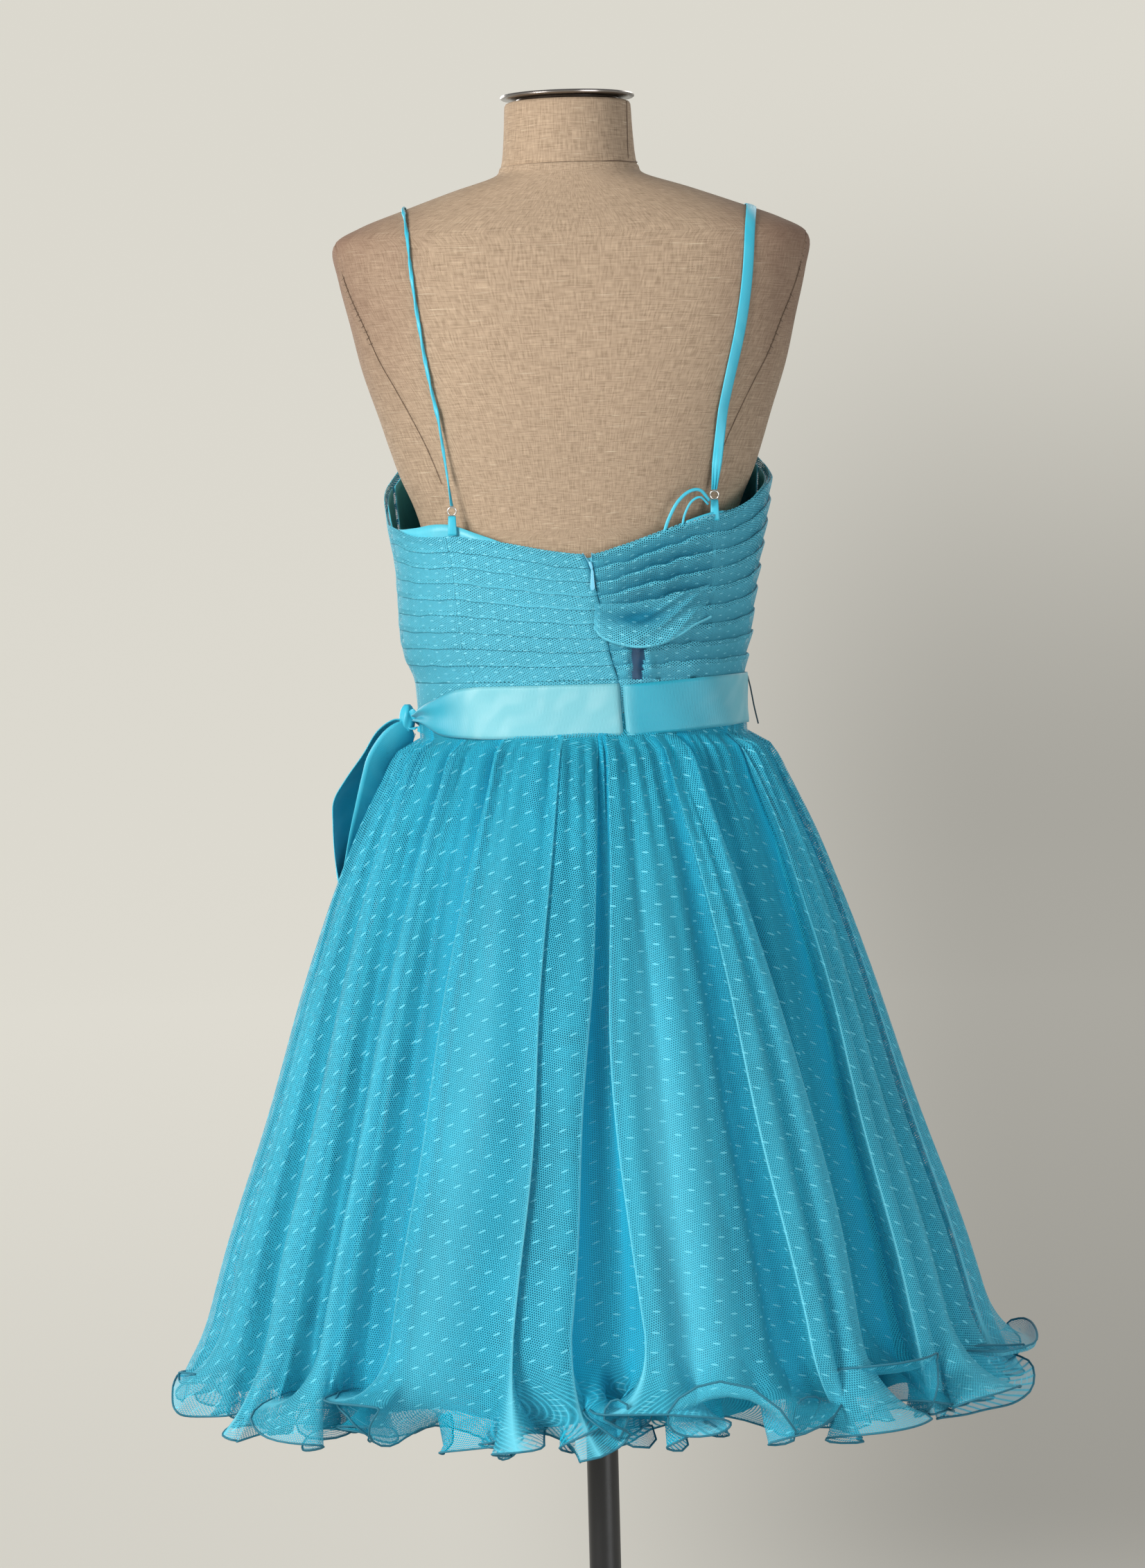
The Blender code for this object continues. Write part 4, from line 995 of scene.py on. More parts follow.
LEFT_LIFT = (
    (-10.0, 0.0),
    (18.0, 0.0),
    (30.0, 0.0022),
    (46.0, 0.0035),
    (56.0, 0.0015),
    (70.0, 0.0),
    (110.0, 0.0),
)
lining("back_left", -7.0, 103.0, 0.0022, 0.985, LEFT_LIFT, (8.0, 0.0))
lining("back_right", -103.0, -13.5, 0.0026, 0.980, lean=(0.0, 8.5))
lining("front", 104.5, 255.5, 0.0034, 0.985)


def zip_angle(height):
    """Angle of the zip's line at a height."""
    share = (np.asarray(height) - PLEAT_START) / (float(top_edge(SEAMS["zip"][1])) - PLEAT_START)
    return SEAMS["zip"][0] + share * (SEAMS["zip"][1] - SEAMS["zip"][0])


tape_heights = np.linspace(1.1300, WAIST_SEAM + 0.001, 30)
tape_grid = [on_dress(zip_angle(z) + np.linspace(-4, 4, 9), z, -0.0021) for z in tape_heights]
thicken(skin("zip_tape_cloth", tape_grid, lining_satin, node="zip_tape"), 0.0008)


# %% [markdown]
# ## The zip
# An invisible zip closes the centre back: only its line, the slider and a teardrop pull show, with
# the nylon coils in the small V above the slider. The coils repeat, so the stitch tree sets them.
# The pull tab is its own body, because it swings on the slider.
# %% Coils and the closed line
coil_paths = []
for side in (-1, 1):
    z = np.linspace(1.1262, 1.1335, 12)
    spread = side * (0.20 + 0.85 * ramp(z, 1.1262, 0.0073))
    coil_paths.append(on_dress(zip_angle(z) + spread, z, -0.0006))
values = {"Spacing": 0.00062, "Length": 0.0011, "Radius": 0.00022, "Slant": 1.45, "Finish": zip_enamel}
grow("zip_coils", stitches, coil_paths, values, slot="satin")
z = np.linspace(1.0330, 1.1205, 50)
cord("zip_line", [on_dress(zip_angle(z), z, -0.0008)], 0.0005, dark_thread, slot="satin")


# %% Slider and pull tab
def block(name, rings, finish, **kept):
    """Closed solid through rings of points."""
    first, last = (0.98 * np.mean(ring, 0) + 0.02 * ring for ring in (rings[0], rings[-1]))
    return skin(name, (first, *rings, last), finish, wrap=True, **kept)


def level_ring(middle, z, half_width, half_depth):
    """Level ring with rounded corners."""
    x, y = oval(np.arange(16) * 360.0 / 16, half_width, half_depth, 3.0)
    return np.column_stack((x + middle[0], y + middle[1], np.full(16, z)))


# height, half width, half depth
SLIDER = (
    (1.1272, 0.0008, 0.0008),
    (1.1266, 0.0013, 0.0012),
    (1.1240, 0.0014, 0.0013),
    (1.1215, 0.0010, 0.0013),
    (1.1201, 0.0007, 0.00105),
)
# share of the way down, half width, half depth
TEARDROP = (
    (0.0, 0.0005, 0.0003),
    (0.03, 0.0008, 0.0004),
    (0.12, 0.00105, 0.00045),
    (0.35, 0.00125, 0.00045),
    (0.60, 0.0016, 0.00045),
    (0.80, 0.0019, 0.00045),
    (0.91, 0.0016, 0.00042),
    (0.97, 0.0010, 0.00038),
    (1.0, 0.0004, 0.0003),
)
rings = [level_ring(on_dress(zip_angle(z), z, 0.0001), z, *halves) for z, *halves in SLIDER]
block("zip_slider_body", rings, zip_enamel, node="zip_slider")
tab_low, tab_high = (np.array(p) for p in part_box("zip_pull_tab"))
tab_middle, tab_length = (tab_low + tab_high) / 2, tab_high[2] - tab_low[2]
rings = [level_ring(tab_middle, tab_high[2] - share * tab_length, *halves) for share, *halves in TEARDROP]
block("teardrop_pull", rings, zip_enamel, body="pull_tab", node="zip_pull_tab")
print("pull tab is", round(float(tab_length) * 1000, 1), "mm long")


# %% [markdown]
# ## The skirt
# The skirt is cut nearly as a circle and gathered a little, so it hangs in round tubes that grow
# towards the hem. A simulation would fold it anywhere, so the folds are placed one by one. Each row
# of the table is a line that runs from waist to hem: a crest, a valley, the sharp edge of a tube,
# or the place where the cloth turns back under that edge. Where an edge reaches past the next row,
# the cloth laps over itself, which makes the pale doubled edges that tulle shows.
# %% Table of folds
# angle at the waist, at the hem, stray halfway, dip (a usual valley is 1), round or sharp
FOLDS = (
    (-5.3, -1.0, 0.0, 1.15, 1),
    (-4.2, 5.6, 0.0, 1.00, 0),
    (-4.0, 4.8, 0.0, 0.28, 0),
    (-0.5, 7.2, 0.0, 0.18, 1),
    (5.2, 11.2, 0.0, 0.32, 1),
    (8.0, 13.8, 0.0, 0.95, 0),
    (6.2, 12.0, 0.0, 0.12, 0),
    (10.0, 15.8, 0.0, 0.30, 1),
    (19.5, 24.5, -1.0, 0.00, 1),
    (25.0, 28.5, -0.5, 0.14, 1),
    (28.0, 31.0, 0.0, 0.34, 0),
    (27.0, 30.2, 0.0, 0.90, 0),
    (31.0, 34.3, 0.0, 1.05, 1),
    (35.6, 37.8, 0.0, 0.92, 1),
    (38.8, 39.8, 0.0, 0.30, 1),
    (42.0, 41.8, 0.0, 0.03, 1),
    (45.0, 43.6, 0.0, 0.28, 0),
    (44.0, 42.8, 0.0, 0.85, 0),
    (48.0, 46.5, 0.0, 1.00, 1),
    (51.5, 48.6, 0.0, 0.85, 1),
    (55.0, 49.8, 0.0, 0.34, 1),
    (61.0, 53.0, 0.0, 0.02, 1),
    (65.0, 55.2, 0.0, 0.26, 0),
    (64.0, 54.4, 0.0, 0.85, 0),
    (67.5, 58.5, 0.0, 1.15, 1),
    (70.5, 61.6, 0.0, 0.80, 1),
    (73.0, 64.0, 0.0, 0.20, 1),
    (78.0, 68.5, 0.0, 0.00, 1),
    (80.5, 71.0, 0.0, 0.24, 0),
    (80.0, 70.2, 0.0, 0.75, 0),
    (83.0, 75.0, 0.0, 0.95, 1),
    (89.5, 82.0, 0.0, 0.02, 1),
    (93.5, 86.0, 0.0, 0.22, 0),
    (93.0, 85.4, 0.0, 0.75, 0),
    (96.0, 90.0, 0.0, 1.00, 1),
    (270.0, 275.0, 0.0, 1.00, 1),
    (275.5, 281.0, 0.0, 0.00, 1),
    (280.0, 285.5, 0.0, 0.22, 0),
    (279.5, 284.8, 0.0, 0.75, 0),
    (282.5, 288.0, 0.0, 0.85, 1),
    (288.0, 293.0, 0.0, 0.06, 1),
    (292.5, 297.0, 0.0, 0.32, 1),
    (296.0, 302.0, 0.0, 1.05, 0),
    (294.6, 299.4, 0.0, 0.16, 0),
    (296.6, 302.6, 0.0, 0.00, 1),
    (298.4, 305.6, 0.0, 0.26, 1),
    (300.0, 308.2, 0.0, 0.00, 1),
    (302.0, 310.6, 0.0, 0.14, 0),
    (300.4, 308.8, 0.0, 0.90, 0),
    (307.0, 313.6, 0.0, 1.25, 1),
    (313.0, 316.2, 0.0, 1.05, 1),
    (319.0, 318.6, 0.0, 1.80, 1),
    (327.4, 323.4, -2.0, 1.50, 0),
    (328.0, 321.8, -4.0, 0.16, 0),
    (330.0, 323.9, -3.5, 0.04, 1),
    (331.8, 325.8, -2.0, 0.45, 0),
    (333.8, 327.4, -1.0, 0.05, 1),
    (336.4, 329.4, 0.0, 0.14, 0),
    (335.9, 328.8, 0.0, 0.65, 0),
    (338.0, 333.0, 0.0, 0.95, 1),
    (341.0, 337.2, 0.0, 0.26, 1),
    (346.4, 343.6, 0.0, 0.02, 1),
    (349.8, 347.8, 0.0, 0.40, 1),
    (352.0, 351.0, 3.0, 0.06, 1),
    (353.6, 353.0, 3.6, 0.12, 0),
    (353.0, 352.2, 3.6, 0.70, 0),
)
DEEPER = 1.12  # the folds against the reach in the table of the skirt
# share of a hidden tube's width, dip, round or sharp
HIDDEN_TUBE = ((0.46, 0.0, 1), (0.84, 0.24, 0), (0.79, 0.80, 0), (1.0, 1.0, 1))


def hidden_folds(first, last, count, seed):
    """Tubes like the others for the side that faces away, uneven in width and depth."""
    pick = np.random.default_rng(seed)
    stray = pick.uniform(-2.2, 2.2, count - 1)
    ends = np.linspace(first, last, count + 1) + np.concatenate(((0,), stray, (0,)))
    rows = []
    for a, b in zip(ends, ends[1:]):
        for share, dip, smooth in HIDDEN_TUBE:
            crest = 0.03 * pick.random() if smooth and share < 1 else 0.0
            depth_and_shade = pick.uniform(0.85, 1.15) if share == 1.0 else 1.0
            line = a + (b - a) * share
            rows.append((line, line, pick.uniform(-0.8, 0.8), dip * depth_and_shade + crest, smooth))
    return rows[:-1]


here = [row[0] for row in FOLDS].index(96.0) + 1
FOLDS = FOLDS[:here] + tuple(hidden_folds(93.0, 272.5, 13, 3)) + FOLDS[here:]
print(len(FOLDS), "lines of crests, valleys and edges")


# %% [markdown]
# One function hangs any layer of the skirt. Down to a hand's width above the hem, each row is the
# outline pulled in by the folds, with small gathers under the belt. From there the hem goes its
# own way: it was stretched as it was rolled over a cord, so it flutes like a lettuce leaf. Each
# column of the last rows is bent by its own turn, out or in, and keeps its length.
# %% Columns along the lines of the table
def fold_columns(folds, down, per_fold):
    """Angle and dip of every column at shares of the way down."""
    down = down[:, None]
    t = np.linspace(0, 1, per_fold, endpoint=False)[None]
    ways = {
        (0, 0): t,
        (0, 1): np.sin(np.pi / 2 * t),
        (1, 0): 1 - np.cos(np.pi / 2 * t),
        (1, 1): (1 - np.cos(np.pi * t)) / 2,
    }
    after = [*folds[1:], (folds[0][0] + 360, folds[0][1] + 360, *folds[0][2:])]
    angles, dips = [], []
    for now, then in zip(folds, after):
        lines = [k[0] + (k[1] - k[0]) * down**0.85 + k[2] * np.sin(np.pi * down) for k in (now, then)]
        angles.append(lines[0] + (lines[1] - lines[0]) * t)
        dips.append(now[3] + (then[3] - now[3]) * ways[now[4], then[4]] + 0 * down)
    return np.concatenate(angles, 1), np.concatenate(dips, 1)


# %% The hem's rows
HEM_ROWS = 24
FARTHEST = (0.3360, 0.3150)  # half width and depth that no layer reaches past


def hem_rows(start, angle, hem_zone, seed, flute):
    """Rows of the hem, each column bent by its own turn."""
    length = run_along(np.concatenate((start, start[:1])))[:-1]
    turn, bulb = flute(angle % 360, length)
    reach = (hem_zone + 0.006 * waves(length, (0.31, 0.13), seed + 3)) / HEM_ROWS
    outward = unit(start[:, :2] / np.square(SKIRT[-1][1:3]))
    tangent = unit(np.roll(start[:, :2], -3, 0) - np.roll(start[:, :2], 3, 0))
    normal = np.stack((-tangent[:, 1], tangent[:, 0]), -1)
    rows = [start]
    for step in range(1, HEM_ROWS + 1):
        lean = turn * (step / HEM_ROWS) ** 1.6
        level = normal * (np.sin(lean) * reach)[:, None] + outward * (0.27 * reach * np.cos(lean))[:, None]
        level = level - tangent * (bulb * step / HEM_ROWS**2 * 2)[:, None]
        rows.append(rows[-1] + np.column_stack((level, -np.cos(lean) * reach * 0.96)))
    return rows[1:]


def kept_in(points):
    """Points eased back where they come near the sides of the CAD's skirt."""
    size = np.maximum(np.abs(points[..., 0] + 0.004) / FARTHEST[0], np.abs(points[..., 1]) / FARTHEST[1])
    eased_size = np.where(size > 0.96, 0.96 + 0.04 * (1 - np.exp(-(size - 0.96) / 0.04)), size)
    points[..., :2] *= (eased_size / size)[..., None]
    return points


# %% Hanging one layer
def hang(
    folds, flute, columns, down_to, hem_zone, seed, first=0.0, ease=0.0, spread=0.0, reach=1.0, gathers=0.0
):
    """Rows of points of one layer, and each point's dip. columns is their number for a fold."""
    bend_at = down_to + hem_zone
    heights = np.linspace(0.9905, bend_at, int((0.9905 - bend_at) / 0.0078))
    heights = np.concatenate(((WAIST_SEAM, 1.0, BELT_BOTTOM - 0.0004), heights))
    down = np.clip((BELT_BOTTOM - heights) / (BELT_BOTTOM - SKIRT[-1][0]), 0, 1)
    angle, dip = fold_columns(folds, down, columns)
    down = down[:, None] + 0 * angle
    angle = angle + 0.45 * waves(angle / 23 + 1.6 * down, (1.7, 0.9), 17) * np.sin(np.pi * down**0.8)
    z = heights[:, None] + 0 * angle
    below = ramp(z, BELT_BOTTOM, -0.012)
    depth = DEEPER * eased(SKIRT, 3, z) * (reach * dip + (1 - reach) * 1.35)
    ridge = np.abs(np.sin(np.radians(angle * 34 + 95 * waves(angle, (61.0, 23.0), seed))))
    small = (1 + 0.5 * waves(angle, (43.0, 17.0), seed + 2)) * (2.2 * (1 - ridge) - 0.6)
    small = small * (bell(down, 0.14) + 0.13 * bell(down, 0.35))
    medium = waves(angle + 5 * down, (360 / 31, 360 / 22), seed + 1)
    medium = medium * np.clip(down * 8, 0, 1) * (1 - 0.5 * down)
    streaks = waves(angle + 3 * down, (360 / 104, 360 / 71, 360 / 57), seed + 5) * bell(down, 0.55)
    inset = first + ease * below + spread * down + depth
    inset = inset + below * (gathers * (small + 0.28 * streaks) + 0.0009 * medium)
    x, y = oval(angle, eased(SKIRT, 1, z) - inset, eased(SKIRT, 2, z) - inset, 2.1)
    grid = np.where((z > 0.9926)[..., None], on_dress(angle, z, -first), np.stack((x, y, z), -1))
    # The dip that is handed back also carries painted shade into the creases of the gathers under the belt.
    if gathers > 0.002:
        dip = dip + 0.7 * np.clip(1 - 2.2 * ridge, 0, 1) * bell(down, 0.09)
    whole = kept_in(np.concatenate((grid, hem_rows(grid[-1], angle[-1], hem_zone, seed, flute))))
    return whole, np.concatenate((dip, np.repeat(dip[-1:], HEM_ROWS, 0)))


# %% True lengths of the cloth
CUT_TURN = 0.7  # degrees that the cloth's grain turns for each degree round the hem


def cloth_lengths(grid, folds, per_fold):
    """UV edges of each face. Each tube's lengths start at its crest, turned by how it was cut."""
    closed = np.concatenate((grid, grid[:, :1]), 1)
    across = np.linalg.norm(np.diff(closed, axis=1), axis=2).cumsum(1)
    across = np.concatenate((0 * across[:, :1], across), 1)
    down = -np.append(0, np.linalg.norm(np.diff(grid, axis=0), axis=2).mean(1).cumsum())
    valleys = [i for i, row in enumerate(folds) if row[3] > 0.8 and row[4]] + [len(folds)]
    uv = np.zeros((*grid.shape[:2], 2, 2))
    for first, last in zip(valleys, valleys[1:]):
        crest = min(range(first, last), key=lambda i: folds[i][3])
        turn = math.radians(CUT_TURN * ((folds[crest][1] + 180) % 360 - 180))
        columns = np.arange(first * per_fold, last * per_fold)
        for side in (0, 1):
            u = across[:, columns + side] - across[:, crest * per_fold][:, None]
            v = down[:, None] + 0 * u
            uv[:, columns, side, 0] = u * math.cos(turn) - v * math.sin(turn)
            uv[:, columns, side, 1] = u * math.sin(turn) + v * math.cos(turn)
    return uv


# %% [markdown]
# The flutes differ from layer to layer, and in a few places the whole edge curls up and outwards.
# A second table says where, over how many degrees, and how far the edge turns. At the two sides
# the flutes are kept small, because the skirt is widest there.
# %% Flutes and curls of the hems
# angle, half width in degrees, turn in degrees
CURLS = (
    (-16.0, 2.5, 175.0),
    (-45.0, 4.0, 150.0),
    (-79.0, 11.0, 160.0),
    (29.0, 3.5, 120.0),
    (76.0, 7.0, 130.0),
    (135.0, 6.0, 110.0),
    (205.0, 5.0, 120.0),
)


def fluting(size, pitch, seed, curls):
    """How far the hem turns at each angle and length along it."""

    def turn(angle, length):
        warped = length + 0.011 * waves(length, (0.23, 0.11), seed)
        wave = np.sin(2 * np.pi * warped / pitch) + 0.25 * np.sin(2 * np.pi * warped / (pitch * 0.47))
        side = np.abs(np.sin(np.radians(angle))) ** 4
        swell = size * (1 + 0.35 * waves(length, (0.4, 0.17), seed + 1)) * (1 - 0.62 * side)
        made = swell * (0.22 + 0.78 * wave)
        for middle, half, degrees in curls:
            off = (angle - middle + 180) % 360 - 180
            made = made + bell(off, half) * (math.radians(degrees) - made) * 0.9
        return made, 0.020 * np.sin(4 * np.pi * warped / pitch) * (1 - 0.7 * side)

    return turn


def along_lines(folds, per_fold, chosen, before, after):
    """Each column's nearness to chosen lines of the table, fading over columns before and after."""
    made = np.zeros(len(folds) * per_fold)
    for i, fold in enumerate(folds):
        if chosen(fold):
            for step in range(-2 * per_fold, 2 * per_fold):
                place = (i * per_fold + step) % len(made)
                made[place] = max(made[place], bell(step, before if step < 0 else after))
    return made


def length_round(row):
    """Length of a closed row of points."""
    return float(np.linalg.norm(np.diff(np.vstack((row, row[:1])), axis=0), axis=1).sum())


def flat_hem(angle, length):
    """The satin's hem, which hardly turns."""
    return 0.12 * waves(length, (0.2, 0.09), 3), 0 * angle


# %% Dotted tulle, plain tulle and satin
COLUMNS = {"dotted": 9, "plain": 12, "satin": 5}  # for each fold
DOTTED_CORD, PLAIN_CORD = 0.00085, 0.0008  # radius of the rolled hem
hung = {"columns": COLUMNS["dotted"], "down_to": 0.4720, "hem_zone": 0.086, "seed": 31, "gathers": 0.0034}
dotted_grid, dip = hang(FOLDS, fluting(1.65, 0.108, 7, CURLS), **hung)
row = np.arange(len(dotted_grid))[:, None]
# Painted shade lies in the valleys, darkest under each overlapping edge, and fades out near the hem.
crease = along_lines(FOLDS, COLUMNS["dotted"], lambda fold: fold[4] == 0 and fold[3] > 0.6, 5.0, 6.5)
waist_fade = np.clip((1 - row / len(dotted_grid)) * 5, 0, 1)
shade = ramp(dip, 0.45, 0.55) * (0.35 + 0.65 * crease) * waist_fade
# Folded edges are pale where the net is doubled, with a painted highlight; painted light also brightens the
# crests and one smooth tube near the centre back.
edges = along_lines(FOLDS, COLUMNS["dotted"], lambda fold: fold[4] == 0 and fold[3] < 0.4, 0.9, 0.9)
painted_crest_light = 0.32 * np.clip(1 - dip / 0.42, 0, 1)
halfway = fold_columns(FOLDS, np.array((0.5,)), COLUMNS["dotted"])[0][0]
painted_tube_light = 0.5 * bell(halfway - 349.0, 4.5) * np.clip(row / 30 - 0.2, 0, 1)
doubling_and_highlight = np.maximum(np.clip(row / len(dotted_grid) * 2.5, 0, 1) * np.maximum(edges, painted_crest_light), painted_tube_light)
looks = {"uv": cloth_lengths(dotted_grid, FOLDS, COLUMNS["dotted"]), "depth_and_shade": shade, "doubling_and_highlight": doubling_and_highlight}
skin("dotted_skirt", dotted_grid, dotted_tulle, wrap=True, node="skirt_dotted_tulle", **looks)
cord("dotted_hem_cord", [dotted_grid[-1]], DOTTED_CORD, hem_thread, closed=True, slot="dotted_tulle")

ROUND_FOLDS = tuple(row for row in FOLDS if row[4])
hung = {"columns": COLUMNS["plain"], "down_to": 0.4700, "hem_zone": 0.080, "seed": 61, "gathers": 0.0008}
hung.update({"first": 0.0023, "ease": 0.004, "spread": 0.015, "reach": 0.9})
plain_grid, dip = hang(ROUND_FOLDS, fluting(1.45, 0.088, 9, CURLS[5:]), **hung)
looks = {"uv": cloth_lengths(plain_grid, ROUND_FOLDS, COLUMNS["plain"]), "depth_and_shade": 0 * dip}
skin("plain_skirt", plain_grid, plain_tulle, wrap=True, node="skirt_plain_tulle", **looks)
cord("plain_hem_cord", [plain_grid[-1]], PLAIN_CORD, hem_thread, closed=True, slot="plain_tulle")

hung = {"columns": COLUMNS["satin"], "down_to": 0.4880, "hem_zone": 0.020, "seed": 91}
hung.update({"first": 0.0044, "ease": 0.006, "spread": 0.020, "reach": 0.22})
satin_grid, _ = hang(ROUND_FOLDS, flat_hem, **hung)
skin("satin_underskirt", satin_grid, satin, wrap=True, node="skirt_satin")
hems = [dotted_grid[-1 - HEM_ROWS], plain_grid[-1 - HEM_ROWS], satin_grid[-1]]
print("dotted, plain and satin hems", [round(length_round(hem), 2) for hem in hems], "m round")


# %% [markdown]
# ## Belt and bow
# The belt is a wide ribbed ribbon that starts and ends beside the zip. It narrows into the knot at
# the wearer's left, where it creases. The bow's big loop hangs down the side, and its inside shows
# from behind. Ribbons are grids again: a path for one selvedge and a direction to the other.
# %% The two lengths of belt
# angle, top, bottom
BELT_LEFT = (
    (-10.7, 1.0332, 0.9932),
    (10.0, 1.0330, 0.9925),
    (30.0, 1.0330, 0.9923),
    (39.0, 1.0322, 0.9930),
    (47.0, 1.0296, 0.9940),
    (56.0, 1.0250, 0.9960),
    (64.0, 1.0208, 1.0000),
    (72.0, 1.0170, 1.0040),
    (80.0, 1.0130, 1.0055),
    (89.0, 1.0110, 1.0050),
)
BELT_RIGHT = (
    (97.0, 1.0110, 1.0040),
    (103.0, 1.0170, 0.9990),
    (112.0, 1.0250, 0.9950),
    (124.0, 1.0310, 0.9934),
    (140.0, 1.0330, 0.9930),
    (200.0, 1.0345, 0.9945),
    (262.0, 1.0375, 0.9985),
    (285.0, 1.0375, 0.9988),
    (310.0, 1.0365, 0.9970),
    (330.0, 1.0345, 0.9946),
    (348.2, 1.0320, 0.9922),
)
# angle, how far painted shade darkens the ribbon
BELT_SHADE_LEFT = (
    (-10.7, 0.0),
    (35.0, 0.0),
    (45.0, 0.5),
    (56.0, 0.95),
    (89.0, 0.9),
)
BELT_SHADE_RIGHT = (
    (97.0, 0.8),
    (115.0, 0.2),
    (290.0, 0.15),
    (304.0, 0.45),
    (322.0, 0.9),
    (343.0, 1.0),
    (348.2, 0.5),
)


BELT_WIDTH, BELT_OFF = 0.040, 0.0024  # its own width, and how far off the dress it lies


def belt(side, table, painted_shades, seed, zip_end):
    """Length of ribbed ribbon laid round the waist. Its end beside the zip is turned under."""
    low, high = table[0][0], table[-1][0]
    angle = np.linspace(low, high, int((high - low) / 1.2))
    top, bottom = eased(table, 1, angle), eased(table, 2, angle)
    squeeze = 1 - (top - bottom) / BELT_WIDTH
    rows = []
    for share in np.linspace(0, 1, 15):
        crease = squeeze * (0.0030 * math.sin(3 * math.pi * share) + 0.002 * math.sin(math.pi * share))
        sag = 0.0007 * waves(angle + 13 * share, (61.0, 23.0), seed)
        edge = 0.0003 * (abs(share - 0.5) > 0.49)
        out = BELT_OFF + crease + sag - edge - 0.0014 * bell(angle - zip_end, 0.5)
        rows.append(on_dress(angle, top + (bottom - top) * share, out))
    # Painted shade along the belt, darkest by the knot and, on the right length, near the zip.
    tone = np.tile(eased(painted_shades, 1, angle), (15, 1))
    thicken(skin("ribbon_" + side, rows, belt_ribbon, depth_and_shade=tone, node="belt_" + side), 0.0009)


belt("left", BELT_LEFT, BELT_SHADE_LEFT, 2, -10.7)
belt("right", BELT_RIGHT, BELT_SHADE_RIGHT, 4, 348.2)


# %% Tables of the bow
# one selvedge (x, y, z), then the way across the ribbon to the other
BIG_LOOP = (
    (0.1385, -0.0020, 1.0060, -0.005, -0.006, -0.010),
    (0.1480, 0.0010, 1.0045, -0.013, -0.012, -0.017),
    (0.1590, 0.0030, 0.9960, -0.020, -0.018, -0.017),
    (0.1699, 0.0040, 0.9798, -0.025, -0.024, -0.012),
    (0.1752, 0.0040, 0.9630, -0.026, -0.027, -0.008),
    (0.1800, 0.0030, 0.9440, -0.024, -0.029, -0.005),
    (0.1862, 0.0000, 0.9180, -0.017, -0.033, -0.002),
    (0.1909, -0.0040, 0.8950, -0.009, -0.036, 0.000),
    (0.1948, -0.0080, 0.8800, -0.006, -0.037, 0.000),
    (0.1970, -0.0110, 0.8860, -0.006, -0.037, 0.000),
    (0.1990, -0.0130, 0.9040, -0.012, -0.035, 0.000),
    (0.1996, -0.0140, 0.9260, -0.018, -0.032, 0.000),
    (0.1985, -0.0140, 0.9440, -0.022, -0.029, -0.003),
    (0.1885, -0.0125, 0.9610, -0.022, -0.028, -0.009),
    (0.1745, -0.0100, 0.9800, -0.022, -0.026, -0.012),
    (0.1628, -0.0080, 0.9980, -0.014, -0.020, -0.016),
    (0.1500, -0.0060, 1.0070, -0.008, -0.012, -0.012),
    (0.1392, -0.0050, 1.0065, -0.004, -0.006, -0.008),
)
SMALL_LOOP = (
    (0.1290, -0.0010, 1.0050, 0.006, -0.002, 0.001),
    (0.1300, 0.0010, 1.0110, 0.007, -0.003, 0.001),
    (0.1335, 0.0010, 1.0155, 0.004, -0.004, -0.003),
    (0.1372, -0.0010, 1.0120, 0.004, -0.007, -0.002),
    (0.1398, -0.0020, 1.0065, 0.001, -0.008, -0.003),
    (0.1372, -0.0010, 1.0000, -0.004, -0.006, 0.000),
    (0.1325, 0.0010, 0.9990, -0.004, -0.004, 0.002),
)
UNDER_FOLD = (
    (0.1090, 0.0330, 0.9945, 0.001, -0.003, 0.004),
    (0.1150, 0.0300, 0.9940, 0.001, -0.003, 0.009),
    (0.1205, 0.0240, 0.9950, 0.002, -0.004, 0.010),
    (0.1265, 0.0150, 0.9965, 0.001, -0.005, 0.006),
    (0.1305, 0.0060, 0.9980, 0.000, -0.004, 0.003),
)
LEFT_TAIL = (
    (0.1400, -0.0200, 0.9960, 0.004, -0.012, -0.004),
    (0.1530, -0.0300, 0.9780, 0.002, -0.026, -0.008),
    (0.1690, -0.0380, 0.9420, 0.001, -0.036, -0.006),
    (0.1860, -0.0330, 0.9030, 0.000, -0.038, -0.002),
    (0.2030, -0.0220, 0.8600, 0.000, -0.038, 0.000),
    (0.2130, -0.0160, 0.8250, 0.001, -0.038, 0.002),
    (0.2215, -0.0160, 0.7950, 0.001, -0.038, 0.012),
)
RIGHT_TAIL = (
    (0.1330, -0.0280, 0.9950, 0.004, -0.010, -0.004),
    (0.1440, -0.0540, 0.9740, -0.006, -0.026, -0.006),
    (0.1530, -0.0780, 0.9380, -0.018, -0.034, -0.002),
    (0.1680, -0.0880, 0.8980, -0.019, -0.033, 0.000),
    (0.1870, -0.0930, 0.8400, -0.018, -0.033, 0.000),
    (0.2070, -0.0980, 0.7600, -0.020, -0.032, 0.010),
)


# %% Loops, tails, knot and carrier
def ribbon(name, table, node, cup, steps=7):
    """Ribbon from a selvedge and the way across it, cupped a little."""
    edge, over = np.split(bent(table, steps), 2, 1)
    normal = unit(np.cross(np.gradient(edge, axis=0), over), 1e-9)
    width = np.linalg.norm(over, axis=1)[:, None]
    grid = [edge + over * s + normal * cup * width * math.sin(math.pi * s) for s in np.linspace(0, 1, 11)]
    thicken(skin(name, grid, bow_ribbon, node=node), 0.0007, 0.0)


